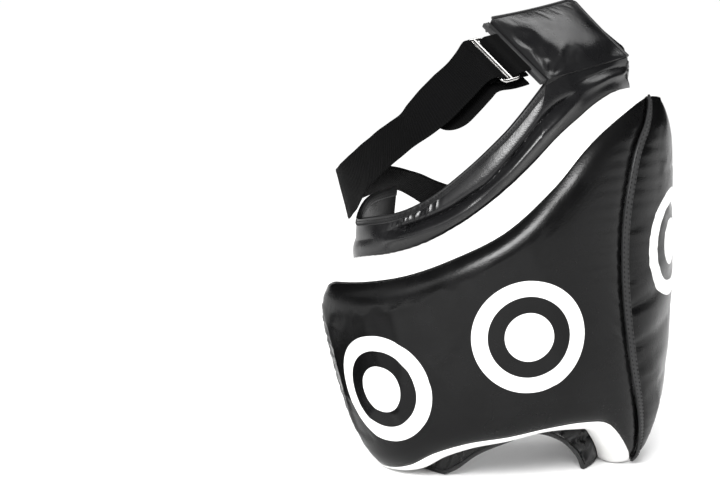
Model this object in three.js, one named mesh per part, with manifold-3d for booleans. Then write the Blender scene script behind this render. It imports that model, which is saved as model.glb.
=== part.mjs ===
// Padded thigh guard for the left leg: two foam pads sewn side by side on a soft wrap that is open at the
// back and laced there, with a belt pad on the hip and a webbing belt that runs from it round the waist.
// Millimetres, +Z up, -Y towards the front of the thigh, +X towards the outside of the leg.
import * as THREE from "three";
import { mergeVertices } from "three/addons/utils/BufferGeometryUtils.js";
import Module from "manifold-3d";

const wasm = await Module();
wasm.setup();

// Clearance between neighbouring pieces, and the walls of the soft ones.
const GAP = 0.3;
const PAD_SEAT = 1.4;
const WRAP_WALL = 4;
const GUSSET_WALL = 2;
const WEBBING_WALL = 2;

// The wrap reaches round to its two lacing flaps; the pads stop short of them. Angles are degrees from the
// front of the thigh, positive towards the outside of the leg.
const FLAP_INNER = -134;
const FLAP_OUTER = 134;
const PAD_INNER = -97;
const PAD_OUTER = 118;

// Foam pads: thickness at the sewn edge, extra thickness in the middle, and the round of the free corners.
// The side pad keeps its thickness nearer to its ends, and is fuller at the foot.
const PAD_EDGE = 35;
const PAD_CROWN = 10;
const PAD_CORNER = 48;
const SEAM_FLATNESS = 0.65;
const FRONT_SQUARENESS = 4;
const SIDE_SQUARENESS = 8;
const SIDE_FOOT = 5.5;
const FOOT_FADE = 150;
const BACK_BEVEL_LOW = 5;
const BACK_BEVEL_HIGH = 15;
const GUSSET_BULGE = 2.5;
const GUSSET_SEAT = 1.35;

// Trim: piping in the seam, binding on the rim and the hem.
const WELT_RADIUS = 3;
const RIM_BINDING = 9;
const HEM_BINDING = 5;

// Belt pad on the hip: size, place of its centre, and how it is turned, raised and leant over.
const BELT_PAD = { length: 109, height: 82, thick: 26, edge: 5, wall: 15 };
const BELT_PAD_CENTRE = new THREE.Vector3(53, -18, 403);
const BELT_PAD_TURN = { yaw: 40, rise: 8.4, lean: 53 };
const BELT_PAD_BINDING = { width: 7, thick: 9, shift: 1.5 };
const HIP_FROM = 14;
const HIP_TO = 74;
const DRAW_IN = 14;
const BELT_PAD_PINCH = 0.04;

// Slide buckle and belt webbing.
const BELT_WIDTH = 50;
const TAB_LENGTH = 15;
const SLIDE = { length: 58, bar: 3.2, pitch: 10.5, corner: 4 };
const FOLD_LIFT = 3.6;
const FOLD_BACK_STEPS = 6;
const FOLD_BACK_WIDTH = 46;
const BELT_LEAD = 8;
const FLAP_WIDTH = 56;
const FLAP_UNDER = { near: 9.5, far: 11 };
const FLAP_SHIFT = { near: -2, far: -5 };
const FLAP_FIRST = 5;
const FLAP_LAST = 12;

// Lacing across the open back.
const LACE_RADIUS = 2.2;
const LACE_HOLE = 3.6;
const LACE_ROWS = 6;
const LACE_LOW = 58;
const LACE_STEP = 26;
const LACE_INSET = 7;
const LACE_OUT = 6;
const LACE_IN = 9;
const KNOT_RADIUS = 6;

// Plan of the wrap at five heights: half width, depth to the front and to the back, and the place of its
// centre. The wrap widens upwards and leans back.
const SECTIONS = [
  { height: 0, half_width: 95, front: 80, back: 78, centre_x: 9, centre_y: 0 },
  { height: 80, half_width: 118, front: 92, back: 86, centre_x: 2, centre_y: 12 },
  { height: 170, half_width: 132, front: 104, back: 95, centre_x: -4, centre_y: 24 },
  { height: 260, half_width: 128, front: 110, back: 105, centre_x: -2, centre_y: 30 },
  { height: 400, half_width: 125, front: 110, back: 110, centre_x: 0, centre_y: 32 },
];

// Edges round the leg, by angle: rim and hem of the wrap, and the sewn edges of the pads. The bevels say
// how much shorter the pads' cover is than their back there.
const EDGES = [
  { angle: -134, rim: 250, pad_top: 178, top_bevel: 14, pad_bottom: 4, bottom_bevel: 0.5, hem: 16 },
  { angle: -112, rim: 246, pad_top: 182, top_bevel: 15, pad_bottom: 4, bottom_bevel: 0.5, hem: -1 },
  { angle: -90, rim: 233, pad_top: 190, top_bevel: 17, pad_bottom: 4.5, bottom_bevel: 0.5, hem: -1 },
  { angle: -65, rim: 240, pad_top: 201, top_bevel: 20, pad_bottom: 5, bottom_bevel: 0.5, hem: -1.5 },
  { angle: -45, rim: 251, pad_top: 211, top_bevel: 21, pad_bottom: 17, bottom_bevel: 8, hem: -3 },
  { angle: -30, rim: 268, pad_top: 224, top_bevel: 23, pad_bottom: 35, bottom_bevel: 14, hem: 7 },
  { angle: -15, rim: 294, pad_top: 245, top_bevel: 26, pad_bottom: 48, bottom_bevel: 14, hem: 25 },
  { angle: 0, rim: 325, pad_top: 272, top_bevel: 30, pad_bottom: 55, bottom_bevel: 12, hem: 37 },
  { angle: 15, rim: 358, pad_top: 303, top_bevel: 25, pad_bottom: 62, bottom_bevel: 10, hem: 45 },
  { angle: 30, rim: 372, pad_top: 332, top_bevel: 15, pad_bottom: 64, bottom_bevel: 11, hem: 35 },
  { angle: 45, rim: 378, pad_top: 352, top_bevel: 7, pad_bottom: 57, bottom_bevel: 11, hem: 14.5 },
  { angle: 60, rim: 382, pad_top: 358, top_bevel: 4, pad_bottom: 30, bottom_bevel: 6, hem: -10 },
  { angle: 75, rim: 380, pad_top: 352, top_bevel: 3, pad_bottom: 4.5, bottom_bevel: 0.5, hem: -1.5 },
  { angle: 90, rim: 366, pad_top: 333, top_bevel: 5, pad_bottom: 4.5, bottom_bevel: 0.5, hem: -1 },
  { angle: 112, rim: 308, pad_top: 276, top_bevel: 10, pad_bottom: 4, bottom_bevel: 0.5, hem: -1 },
  { angle: 134, rim: 258, pad_top: 225, top_bevel: 12, pad_bottom: 4, bottom_bevel: 0.5, hem: 16 },
];

// The seam between the two pads, by height: it bows towards the front at mid height.
const SEAM = [
  { height: 0, angle: 76 },
  { height: 30, angle: 66 },
  { height: 85, angle: 53 },
  { height: 140, angle: 45.5 },
  { height: 220, angle: 41 },
  { height: 280, angle: 43 },
  { height: 320, angle: 48.5 },
  { height: 356, angle: 62.5 },
];

// The belt from the slide round the waist to the back of the belt pad. Lean is how far its upper edge
// falls in towards the waist.
const BELT_RUN = [
  { x: -52, y: -87, z: 364, lean: 41 },
  { x: -88, y: -76, z: 329, lean: 38 },
  { x: -121, y: -44, z: 296, lean: 20 },
  { x: -143, y: 0, z: 263, lean: -8 },
  { x: -145, y: 46, z: 252, lean: -12 },
  { x: -122, y: 84, z: 258, lean: 34 },
  { x: -84, y: 104, z: 256, lean: 62 },
  { x: -42, y: 114, z: 236, lean: 46 },
  { x: 6, y: 116, z: 234, lean: 26 },
  { x: 55, y: 110, z: 268, lean: 24 },
  { x: 88, y: 88, z: 328, lean: 32 },
  { x: 103, y: 48, z: 388, lean: 46 },
];

// Long folds of the collar: angle span, share of the collar's height, width as a share, and depth. They fade
// in and out over a few degrees.
const FOLD_FADE = 14;
const COLLAR_FOLDS = [
  { from: -36, to: 44, share: 0.55, width: 0.2, depth: 5 },
  { from: -2, to: 66, share: 0.84, width: 0.13, depth: 4 },
  { from: -88, to: -40, share: 0.45, width: 0.2, depth: 3 },
];

// Transverse folds of the side pad, deepest near the seam: height, half width up the pad, and depth.
const SIDE_FOLDS = [
  { height: 74, width: 15, depth: 2.2 },
  { height: 122, width: 17, depth: 2.6 },
  { height: 168, width: 15, depth: 2 },
];

const rad = THREE.MathUtils.degToRad;
const mix = THREE.MathUtils.lerp;
const smooth = THREE.MathUtils.smoothstep;

// Smooth curve through a table's rows, as a function from the key column to the other columns.
function curveOf(rows, key) {
  const columns = Object.keys(rows[0]).filter((name) => name !== key);
  const stops = rows.map((row) => row[key]);
  const values = rows.flatMap((row) => columns.map((name) => row[name]));
  const curve = new THREE.CubicInterpolant(stops, values, columns.length);
  return (at) => {
    const sample = curve.evaluate(THREE.MathUtils.clamp(at, stops[0], stops.at(-1)));
    return Object.fromEntries(columns.map((name, i) => [name, sample[i]]));
  };
}

const sectionAt = curveOf(SECTIONS, "height");
const edgesAt = curveOf(EDGES, "angle");
const seamAt = curveOf(SEAM, "height");

// Level direction that points straight out of the wrap.
function outOf(angle, height) {
  const plan = sectionAt(height);
  const turn = rad(angle);
  const depth = Math.cos(turn) > 0 ? plan.front : plan.back;
  return new THREE.Vector3(Math.sin(turn) / plan.half_width, -Math.cos(turn) / depth, 0).normalize();
}

// Point on the outer face of the wrap, moved straight out by the given distance.
function onWrap(angle, height, out) {
  const plan = sectionAt(height);
  const turn = rad(angle);
  const depth = Math.cos(turn) > 0 ? plan.front : plan.back;
  const base = new THREE.Vector3(
    plan.centre_x + plan.half_width * Math.sin(turn),
    plan.centre_y - depth * Math.cos(turn),
    height,
  );
  return base.addScaledVector(outOf(angle, height), out);
}

// A box with the given divisions, each of whose corners is put in place by a function of its three shares.
function bentBox(columns, rows, layers, place) {
  const geometry = new THREE.BoxGeometry(1, 1, 1, columns, rows, layers);
  const position = geometry.attributes.position;
  const share = (value, count) => Math.round((value + 0.5) * count) / count;
  for (let i = 0; i < position.count; i += 1) {
    const u = share(position.getX(i), columns);
    const v = share(position.getY(i), rows);
    const w = share(position.getZ(i), layers);
    const point = place(u, v, w);
    position.setXYZ(i, point.x, point.y, point.z);
  }
  return bare(geometry);
}

// Only the shared corners of a geometry, without normals and texture places.
function bare(geometry) {
  geometry.deleteAttribute("normal");
  geometry.deleteAttribute("uv");
  return mergeVertices(geometry, 1e-4);
}

// Directions along, across and out of a path at each of its points, carried on without twist.
function carriedFrames(points) {
  const along = points.map((_, i) => {
    const before = points[Math.max(i - 1, 0)];
    const after = points[Math.min(i + 1, points.length - 1)];
    return after.clone().sub(before).normalize();
  });
  const up = new THREE.Vector3(0.31, 0.17, 0.93);
  let side = up.clone().cross(along[0]).normalize();
  return points.map((point, i) => {
    side = side.clone().addScaledVector(along[i], -side.dot(along[i])).normalize();
    return { point, side, over: along[i].clone().cross(side) };
  });
}

// Round cord or piping along a row of points.
function tube(points, radius, sides) {
  const frames = carriedFrames(points);
  const steps = frames.length - 1;
  const geometry = new THREE.CylinderGeometry(1, 1, 1, sides, steps);
  const position = geometry.attributes.position;
  for (let i = 0; i < position.count; i += 1) {
    const frame = frames[Math.round((position.getY(i) + 0.5) * steps)];
    const place = frame.point.clone();
    place.addScaledVector(frame.side, position.getX(i) * radius);
    place.addScaledVector(frame.over, -position.getZ(i) * radius);
    position.setXYZ(i, place.x, place.y, place.z);
  }
  return bare(geometry);
}

// Flat strap through frames that hold a point and the direction across the strap.
function strap(frames, thickness) {
  const steps = frames.length - 1;
  return bentBox(steps, 1, 1, (u, v, w) => {
    const i = Math.round(u * steps);
    const before = frames[Math.max(i - 1, 0)].point;
    const after = frames[Math.min(i + 1, steps)].point;
    const along = after.clone().sub(before).normalize();
    const { point, across, width } = frames[i];
    const face = along.cross(across).normalize();
    const middle = point.clone().addScaledVector(face, (w - 0.5) * thickness);
    return middle.addScaledVector(across, (v - 0.5) * width);
  });
}

// Solids for cutting and joining, and back again.
function toSolid(geometry) {
  const vertProperties = Float32Array.from(geometry.attributes.position.array);
  const triVerts = Uint32Array.from(geometry.index.array);
  return new wasm.Manifold(new wasm.Mesh({ numProp: 3, vertProperties, triVerts }));
}

function fromSolid(solid) {
  const mesh = solid.getMesh();
  const geometry = new THREE.BufferGeometry();
  geometry.setAttribute("position", new THREE.BufferAttribute(mesh.vertProperties, 3));
  geometry.setIndex(new THREE.BufferAttribute(mesh.triVerts, 1));
  return geometry;
}

// Finishes.
const blackVinyl = () => new THREE.MeshStandardMaterial({ color: 0x151517, roughness: 0.32, metalness: 0 });
const whiteVinyl = () => new THREE.MeshStandardMaterial({ color: 0xf4f4f2, roughness: 0.38, metalness: 0 });
const webbing = () => new THREE.MeshStandardMaterial({ color: 0x121214, roughness: 0.85, metalness: 0 });
const nickel = () => new THREE.MeshStandardMaterial({ color: 0xc8c8c6, roughness: 0.22, metalness: 1 });

const guard = new THREE.Group();

function add(parent, name, geometry, material) {
  const mesh = new THREE.Mesh(geometry, material);
  mesh.name = name;
  parent.add(mesh);
}

// Hip group: the belt pad's own frame, with x along the belt, y up the pad's face and z out of it.
const hip = new THREE.Group();
hip.position.copy(BELT_PAD_CENTRE);
hip.rotation.set(rad(90 - BELT_PAD_TURN.lean), rad(-BELT_PAD_TURN.rise), rad(BELT_PAD_TURN.yaw), "ZYX");
hip.updateMatrix();
guard.add(hip);
const fromHip = (along, up, out) => new THREE.Vector3(along, up, out).applyMatrix4(hip.matrix);
const hipUp = new THREE.Vector3(0, 1, 0).transformDirection(hip.matrix);

// Collar of the wrap: a point by angle and by share of the height from the pads' top to the rim. On the hip
// the collar is drawn in to the straight lower edge of the belt pad.
function onCollar(angle, share, out) {
  const edge = edgesAt(angle);
  const height = mix(edge.pad_top, edge.rim, share);
  const drawn = smooth(angle, HIP_FROM - DRAW_IN, HIP_FROM) * (1 - smooth(angle, HIP_TO, HIP_TO + DRAW_IN));
  let fold = 0;
  for (const row of COLLAR_FOLDS) {
    const starts = smooth(angle, row.from, row.from + FOLD_FADE);
    const span = starts * (1 - smooth(angle, row.to - FOLD_FADE, row.to));
    fold -= row.depth * span * Math.exp(-(((share - row.share) / row.width) ** 2));
  }
  const point = onWrap(angle, height, out + fold);
  if (drawn === 0) return point;
  const run = THREE.MathUtils.clamp((angle - HIP_FROM) / (HIP_TO - HIP_FROM), 0, 1);
  const seat = fromHip(mix(-0.5, 0.5, run) * BELT_PAD.length, -BELT_PAD.height / 2, 0);
  const rim = onWrap(angle, edge.rim, -WRAP_WALL / 2);
  return point.addScaledVector(seat.sub(rim), drawn * share ** 2);
}

// Soft wrap: the lining that the pads are sewn on. Its top shows as the collar and its foot as the gathered
// hem.
const WRAP_COLUMNS = 48;
const WRAP_ROWS = 12;
const COLLAR_ROWS = 7;
const laceHeight = (row) => LACE_LOW + row * LACE_STEP;
const laceAngle = (side) => (side < 0 ? FLAP_INNER + LACE_INSET : FLAP_OUTER - LACE_INSET);

// The hem lies flat where it meets the floor.
const hemHeight = (angle) => Math.max(edgesAt(angle).hem, 0);
const columnAngle = (column) => mix(FLAP_INNER, FLAP_OUTER, column / WRAP_COLUMNS);

function wrapPoint(u, v, w) {
  const angle = columnAngle(u * WRAP_COLUMNS);
  const edge = edgesAt(angle);
  const out = mix(-WRAP_WALL, 0, w);
  const split = 1 - COLLAR_ROWS / WRAP_ROWS;
  const low = hemHeight(angle) + HEM_BINDING + GAP;
  if (v < split) return onWrap(angle, mix(low, edge.pad_top, v / split), out);
  return onCollar(angle, ((v - split) / (1 - split)) * rimShare(angle), out);
}

// Share of the collar below the rim binding; the belt pad takes the binding's place on the hip.
function rimShare(angle) {
  const edge = edgesAt(angle);
  const onHip = angle > HIP_FROM && angle < HIP_TO;
  const capped = onHip ? 0.5 * BELT_PAD.edge * Math.sin(rad(BELT_PAD_TURN.lean)) : RIM_BINDING;
  return 1 - (capped + GAP) / (edge.rim - edge.pad_top);
}

function laceHole(angle, height) {
  const geometry = new THREE.CylinderGeometry(LACE_HOLE, LACE_HOLE, 6 * WRAP_WALL, 8);
  const turn = new THREE.Quaternion().setFromUnitVectors(new THREE.Vector3(0, 1, 0), outOf(angle, height));
  const centre = onWrap(angle, height, -WRAP_WALL / 2);
  geometry.applyMatrix4(new THREE.Matrix4().compose(centre, turn, new THREE.Vector3(1, 1, 1)));
  return toSolid(bare(geometry));
}

let wrapSolid = toSolid(bentBox(WRAP_COLUMNS, WRAP_ROWS, 1, wrapPoint));
for (const side of [-1, 1]) {
  for (let row = 0; row < LACE_ROWS; row += 1) {
    wrapSolid = wrapSolid.subtract(laceHole(laceAngle(side), laceHeight(row)));
  }
}
add(guard, "inner_wrap", fromSolid(wrapSolid), blackVinyl());

// Binding folded over the rim of the collar, in front of the belt pad and behind it, and over the hem. It
// shares the wrap's columns and stands a little proud of it.
const BINDING_PROUD = 1;
function rimBinding(first, last) {
  return bentBox(last - first, 1, 1, (u, v, w) => {
    const angle = columnAngle(mix(first, last, u));
    const edge = edgesAt(angle);
    const low = 1 - RIM_BINDING / (edge.rim - edge.pad_top);
    return onCollar(angle, mix(low, 1, v), mix(-WRAP_WALL - BINDING_PROUD, BINDING_PROUD, w));
  });
}
const columnBefore = (angle) =>
  Math.floor(((angle - FLAP_INNER) / (FLAP_OUTER - FLAP_INNER)) * WRAP_COLUMNS);
add(guard, "rim_binding_front", rimBinding(0, columnBefore(HIP_FROM)), blackVinyl());
add(guard, "rim_binding_back", rimBinding(columnBefore(HIP_TO) + 1, WRAP_COLUMNS), blackVinyl());

const hemBinding = bentBox(WRAP_COLUMNS, 1, 1, (u, v, w) => {
  const angle = columnAngle(u * WRAP_COLUMNS);
  return onWrap(angle, hemHeight(angle) + v * HEM_BINDING, mix(-WRAP_WALL - BINDING_PROUD, 0, w));
});
add(guard, "hem_binding", hemBinding, blackVinyl());

// Foam pads. u runs round the leg, v from the lower edge to the upper one, w from the wrap to the cover.
const SEAM_HALF_GAP = 0.4;
const frontPad = {
  freeAngle: PAD_INNER, seamGap: -SEAM_HALF_GAP, free: 0, squareness: FRONT_SQUARENESS, foot: 0, folds: [],
};
const sidePad = {
  freeAngle: PAD_OUTER, seamGap: SEAM_HALF_GAP, free: 1, squareness: SIDE_SQUARENESS, foot: SIDE_FOOT,
  folds: SIDE_FOLDS,
};

function crown(pad, u, v) {
  const fromFree = pad.free === 0 ? u : 1 - u;
  const towardsFree = 1 - (1 - 2 * fromFree) ** 4;
  const towardsSeam = 1 - (1 - SEAM_FLATNESS) * (2 * fromFree - 1) ** 6;
  return (fromFree < 0.5 ? towardsFree : towardsSeam) * (1 - (2 * v - 1) ** pad.squareness);
}

function padPoint(pad, u, v, w) {
  const fromFree = pad.free === 0 ? u : 1 - u;
  const backBevel = mix(BACK_BEVEL_LOW, BACK_BEVEL_HIGH, v) * w * (1 - fromFree) ** 2;
  const bevel = Math.sign(-pad.freeAngle) * backBevel;
  const angleAt = (height) => mix(pad.freeAngle, seamAt(height).angle + pad.seamGap, fromFree) + bevel;
  const corner = cornerDrop(pad, fromFree);
  let low = 0;
  let high = SEAM.at(-1).height;
  for (let pass = 0; pass < 3; pass += 1) {
    const lowEdge = edgesAt(angleAt(low));
    const highEdge = edgesAt(angleAt(high));
    low = lowEdge.pad_bottom - (1 - w) * lowEdge.bottom_bevel + corner;
    high = highEdge.pad_top - w * highEdge.top_bevel - corner;
  }
  const height = mix(low, high, v);
  let thickness = PAD_EDGE + PAD_CROWN * crown(pad, u, v);
  thickness += pad.foot * Math.max(1 - height / FOOT_FADE, 0) * (1 - fromFree ** 4);
  for (const fold of pad.folds) {
    const across = Math.exp(-(((height - fold.height) / fold.width) ** 2));
    thickness -= fold.depth * across * Math.sin(Math.PI * fromFree ** 4);
  }
  return onWrap(angleAt(height), height, mix(PAD_SEAT, thickness, w));
}

// How far the round corner of a pad's free edge takes its upper and lower edges in.
function cornerDrop(pad, fromFree) {
  const middleHeight = 0.5 * SEAM.at(-1).height;
  const plan = sectionAt(middleHeight);
  const turn = rad(Math.abs(pad.freeAngle - seamAt(middleHeight).angle));
  const span = turn * (plan.half_width + plan.front) * 0.5;
  const rest = Math.max(PAD_CORNER - span * fromFree, 0);
  return PAD_CORNER - Math.sqrt(PAD_CORNER ** 2 - rest ** 2);
}

// Columns crowd towards a pad's free edge, where its corners are round.
const crowded = (pad, u) => (pad.free === 0 ? u ** 1.5 : 1 - (1 - u) ** 1.5);
const PAD_ROWS = 14;
const FRONT_COLUMNS = 34;
const SIDE_COLUMNS = 18;

// The side pad is built from its free edge to the seam, as the front one is, and its facets are then turned
// over. So the two walls in the seam have matching facets and stay apart.
function padBody(pad, columns) {
  const mirrored = pad.free === 1;
  const geometry = bentBox(columns, PAD_ROWS, 1, (u, v, w) => {
    return padPoint(pad, crowded(pad, mirrored ? 1 - u : u), v, w);
  });
  if (mirrored) geometry.setIndex(Array.from(geometry.index.array).reverse());
  return geometry;
}
add(guard, "front_pad", padBody(frontPad, FRONT_COLUMNS), blackVinyl());
add(guard, "side_pad", padBody(sidePad, SIDE_COLUMNS), blackVinyl());

// White gusset: the wall round a pad's free edges, from the seam along one edge and back along the other. It
// is pressed flat where it stands on the floor.
function gusset(pad, columns) {
  const steps = 2 * columns + PAD_ROWS;
  const first = pad.free === 0 ? 1 : 0;
  const edgePlace = (step, across) => {
    const side = Math.min(Math.max(step - columns, 0), PAD_ROWS) / PAD_ROWS;
    const v = mix(first, 1 - first, side);
    const fromSeam = step <= columns ? step : Math.max(steps - step, 0);
    const reach = Math.min(fromSeam, columns) / columns;
    const u = pad.free === 0 ? 1 - reach : reach;
    return padPoint(pad, crowded(pad, u), v, across);
  };
  return bentBox(steps, 2, 1, (u, v, w) => {
    const step = Math.round(u * steps);
    const along = edgePlace(Math.min(step + 1, steps), 0.5).sub(edgePlace(Math.max(step - 1, 0), 0.5));
    const back = edgePlace(step, 0);
    const cover = edgePlace(step, 1);
    const face = along.cross(cover.clone().sub(back)).normalize();
    const lift = GUSSET_SEAT + w * GUSSET_WALL + GUSSET_BULGE * Math.sin(Math.PI * v) * w;
    const point = back.lerp(cover, v).addScaledVector(face, lift);
    point.z = Math.max(point.z, 0);
    return point;
  });
}
add(guard, "front_gusset", gusset(frontPad, FRONT_COLUMNS), whiteVinyl());
add(guard, "side_gusset", gusset(sidePad, SIDE_COLUMNS), whiteVinyl());

// Piping in the seam between the two pads, with a short tail below it.
const WELT_STEPS = 26;
const weltPoints = Array.from({ length: WELT_STEPS + 1 }, (_, i) => {
  const v = i / WELT_STEPS;
  const front = padPoint(frontPad, 1, v, 1);
  const side = padPoint(sidePad, 0, v, 1);
  const angle = seamAt(front.z).angle;
  return front.add(side).multiplyScalar(0.5).addScaledVector(outOf(angle, front.z), WELT_RADIUS + 4 * GAP);
});
add(guard, "seam_welt", tube(weltPoints, WELT_RADIUS, 6), blackVinyl());

// Belt pad: a cushion that is thin at its sewn edges, with a bound front edge.
const BELT_PAD_COLUMNS = 12;
const BELT_PAD_ROWS = 8;
const beltPad = bentBox(BELT_PAD_COLUMNS, BELT_PAD_ROWS, 1, (u, v, w) => {
  const bulge = (1 - (2 * u - 1) ** 4) * (1 - (2 * v - 1) ** 4);
  const edge = mix(BELT_PAD.edge, BELT_PAD.wall, Math.max(v, u * Math.sqrt(v)) ** 4);
  const half = mix(edge, BELT_PAD.thick, bulge) / 2;
  const pinch = 1 - BELT_PAD_PINCH * (1 - (2 * v - 1) ** 2);
  return new THREE.Vector3(
    (u - 0.5) * BELT_PAD.length,
    (v - 0.5) * BELT_PAD.height * (1 - BELT_PAD_PINCH * (1 - (2 * u - 1) ** 2) * v) + GAP,
    (2 * w - 1) * half * pinch,
  );
});
add(hip, "belt_pad", beltPad, blackVinyl());

const bindingFront = -BELT_PAD.length / 2 - GAP - BELT_PAD_BINDING.width;
const beltPadBinding = bentBox(BELT_PAD_ROWS, 1, 1, (u, v, w) =>
  new THREE.Vector3(
    bindingFront + v * BELT_PAD_BINDING.width,
    (0.5 - u) * BELT_PAD.height + BELT_PAD_BINDING.shift,
    (w - 0.5) * BELT_PAD_BINDING.thick,
  ));
add(hip, "belt_pad_binding", beltPadBinding, blackVinyl());

// Slide buckle: a flat frame with a middle bar.
const slideAlong = bindingFront - TAB_LENGTH - SLIDE.pitch;
const slideWide = 2 * SLIDE.pitch + SLIDE.bar;
const slideOutline = [];
const SLIDE_CORNER_STEPS = 3;
for (const quarter of [0, 1, 2, 3]) {
  const x = (slideWide / 2 - SLIDE.corner) * (quarter === 0 || quarter === 3 ? 1 : -1);
  const y = (SLIDE.length / 2 - SLIDE.corner) * (quarter < 2 ? 1 : -1);
  for (let step = 0; step <= SLIDE_CORNER_STEPS; step += 1) {
    const turn = (quarter + step / SLIDE_CORNER_STEPS) * Math.PI / 2;
    const corner = new THREE.Vector2(Math.cos(turn), Math.sin(turn)).multiplyScalar(SLIDE.corner);
    slideOutline.push(corner.add(new THREE.Vector2(x, y)));
  }
}
const slideShape = new THREE.Shape(slideOutline);
const slidePlate = new THREE.ExtrudeGeometry(slideShape, { depth: SLIDE.bar, bevelEnabled: false });
let slideSolid = toSolid(bare(slidePlate.translate(slideAlong, 0, -SLIDE.bar / 2)));
for (const side of [-1, 1]) {
  const slot = new THREE.BoxGeometry(SLIDE.pitch - SLIDE.bar, SLIDE.length - 2 * SLIDE.bar, 3 * SLIDE.bar);
  slideSolid = slideSolid.subtract(toSolid(bare(slot.translate(slideAlong + side * SLIDE.pitch / 2, 0, 0))));
}
add(hip, "strap_slide", fromSolid(slideSolid), nickel());

// Webbing folded round a bar of the slide, from its back face to its front one, open to one side.
function foldRound(bar, opens) {
  const turns = 6;
  return Array.from({ length: turns + 1 }, (_, i) => {
    const turn = Math.PI * (i / turns);
    return [bar - opens * FOLD_LIFT * Math.sin(turn), -FOLD_LIFT * Math.cos(turn)];
  });
}

const tabEnd = bindingFront - GAP;
const tabPlaces = [[tabEnd, -FOLD_LIFT], ...foldRound(slideAlong + SLIDE.pitch, 1), [tabEnd, FOLD_LIFT]];
const tabFrames = tabPlaces.map(([along, out]) => ({
  point: new THREE.Vector3(along, 0, out),
  across: new THREE.Vector3(0, 1, 0),
  width: BELT_WIDTH,
}));
add(hip, "belt_tab", strap(tabFrames, WEBBING_WALL), webbing());

// Belt: folded round the slide's outer bar, down to the inner side, back across behind and up to the pad.
const beltBar = slideAlong - SLIDE.pitch;
const beltWay = new THREE.CatmullRomCurve3(
  [
    fromHip(beltBar, 0, FOLD_LIFT),
    fromHip(beltBar - BELT_LEAD, 0, FOLD_LIFT),
    ...BELT_RUN.map((row) => new THREE.Vector3(row.x, row.y, row.z)),
    fromHip(BELT_PAD.length / 2 + BELT_LEAD, 0, 0),
    fromHip(BELT_PAD.length / 2 + GAP, 0, 0),
  ],
  false,
  "centripetal",
);
const sewn = [BELT_PAD_TURN.lean, BELT_PAD_TURN.lean];
const leans = [...sewn, ...BELT_RUN.map((row) => row.lean), ...sewn];
const leanAt = curveOf(leans.map((lean, step) => ({ step, lean })), "step");
const BELT_STEPS = 70;
const runFrames = Array.from({ length: BELT_STEPS }, (_, i) => {
  const t = (i + 1) / BELT_STEPS;
  const along = beltWay.getTangent(t);
  const lean = rad(leanAt(t * (leans.length - 1)).lean);
  const up = new THREE.Vector3(0, 0, 1).addScaledVector(along, -along.z).normalize();
  const inward = along.clone().cross(up);
  const across = up.multiplyScalar(Math.cos(lean)).addScaledVector(inward, Math.sin(lean));
  const inside = along.clone().cross(across);
  return { point: beltWay.getPoint(t), across, width: BELT_WIDTH, inside };
});
const backFrames = runFrames.slice(0, FOLD_BACK_STEPS).reverse().map((frame) => ({
  point: frame.point.clone().addScaledVector(frame.inside, 2 * FOLD_LIFT),
  across: frame.across,
  width: FOLD_BACK_WIDTH,
}));
const turnFrames = foldRound(beltBar, -1).map(([along, out]) => ({
  point: fromHip(along, 0, out),
  across: hipUp,
  width: BELT_WIDTH,
}));
runFrames.at(-1).across.copy(hipUp);
add(guard, "belt_strap", strap([...backFrames, ...turnFrames, ...runFrames], WEBBING_WALL), webbing());

// Flap behind the slide: from the belt pad along the belt's inner face, with a round end.
const flapRoot = [bindingFront - GAP, mix(bindingFront, beltBar, 0.5)].map((along) => ({
  point: fromHip(along, FLAP_SHIFT.near, -FLAP_UNDER.near),
  across: hipUp,
}));
const flapRun = runFrames.slice(FLAP_FIRST, FLAP_LAST).map((frame, i, all) => {
  const share = i / (all.length - 1);
  const under = mix(FLAP_UNDER.near + FOLD_LIFT, FLAP_UNDER.far, share);
  const shift = mix(FLAP_SHIFT.near, FLAP_SHIFT.far, share);
  const point = frame.point.clone().addScaledVector(frame.inside, under);
  return { point: point.addScaledVector(frame.across, shift), across: frame.across };
});
const flapStops = [...flapRoot, ...flapRun];
const flapCurve = new THREE.CatmullRomCurve3(flapStops.map((stop) => stop.point), false, "centripetal");
const flapAcross = new THREE.CatmullRomCurve3(flapStops.map((stop) => stop.across), false, "catmullrom");
const FLAP_STEPS = 24;
const flapReach = flapCurve.getLengths(FLAP_STEPS);
const flapFrames = flapReach.map((reach, i) => {
  const round = Math.min((flapReach.at(-1) - reach + GAP) / (FLAP_WIDTH / 2), 1);
  return {
    point: flapCurve.getPoint(i / FLAP_STEPS),
    across: flapAcross.getPoint(i / FLAP_STEPS).normalize(),
    width: FLAP_WIDTH * Math.sqrt(1 - (1 - round) ** 2),
  };
});
add(guard, "slide_flap", strap(flapFrames, WEBBING_WALL), webbing());

// Lace: across the open back on the inside, out through a hole, up the flap and in again, row by row.
const laceWay = [];
for (let row = 0; row < LACE_ROWS; row += 1) {
  const near = row % 2 === 0 ? -1 : 1;
  const inwards = [LACE_OUT, -WRAP_WALL / 2, -LACE_IN];
  for (const out of inwards) laceWay.push(onWrap(laceAngle(near), laceHeight(row), out));
  for (const out of inwards.reverse()) laceWay.push(onWrap(laceAngle(-near), laceHeight(row), out));
}
const laceCurve = new THREE.CatmullRomCurve3(laceWay, false, "centripetal");
let laceSolid = toSolid(tube(laceCurve.getPoints(2 * (laceWay.length - 1)), LACE_RADIUS, 6));
for (const end of [laceWay[0], laceWay.at(-1)]) {
  const knot = new THREE.IcosahedronGeometry(KNOT_RADIUS, 1).translate(end.x, end.y, end.z);
  laceSolid = laceSolid.add(toSolid(bare(knot)));
}
add(guard, "back_lace", fromSolid(laceSolid), webbing());

// The guard stands on its hem, with the origin on the floor under the middle of its box.
const box = new THREE.Box3().setFromObject(guard, true);
const middle = box.getCenter(new THREE.Vector3());
guard.position.set(-middle.x, -middle.y, -box.min.z);

export default guard;
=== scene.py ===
import math
from bisect import bisect_right
from collections import namedtuple

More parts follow.
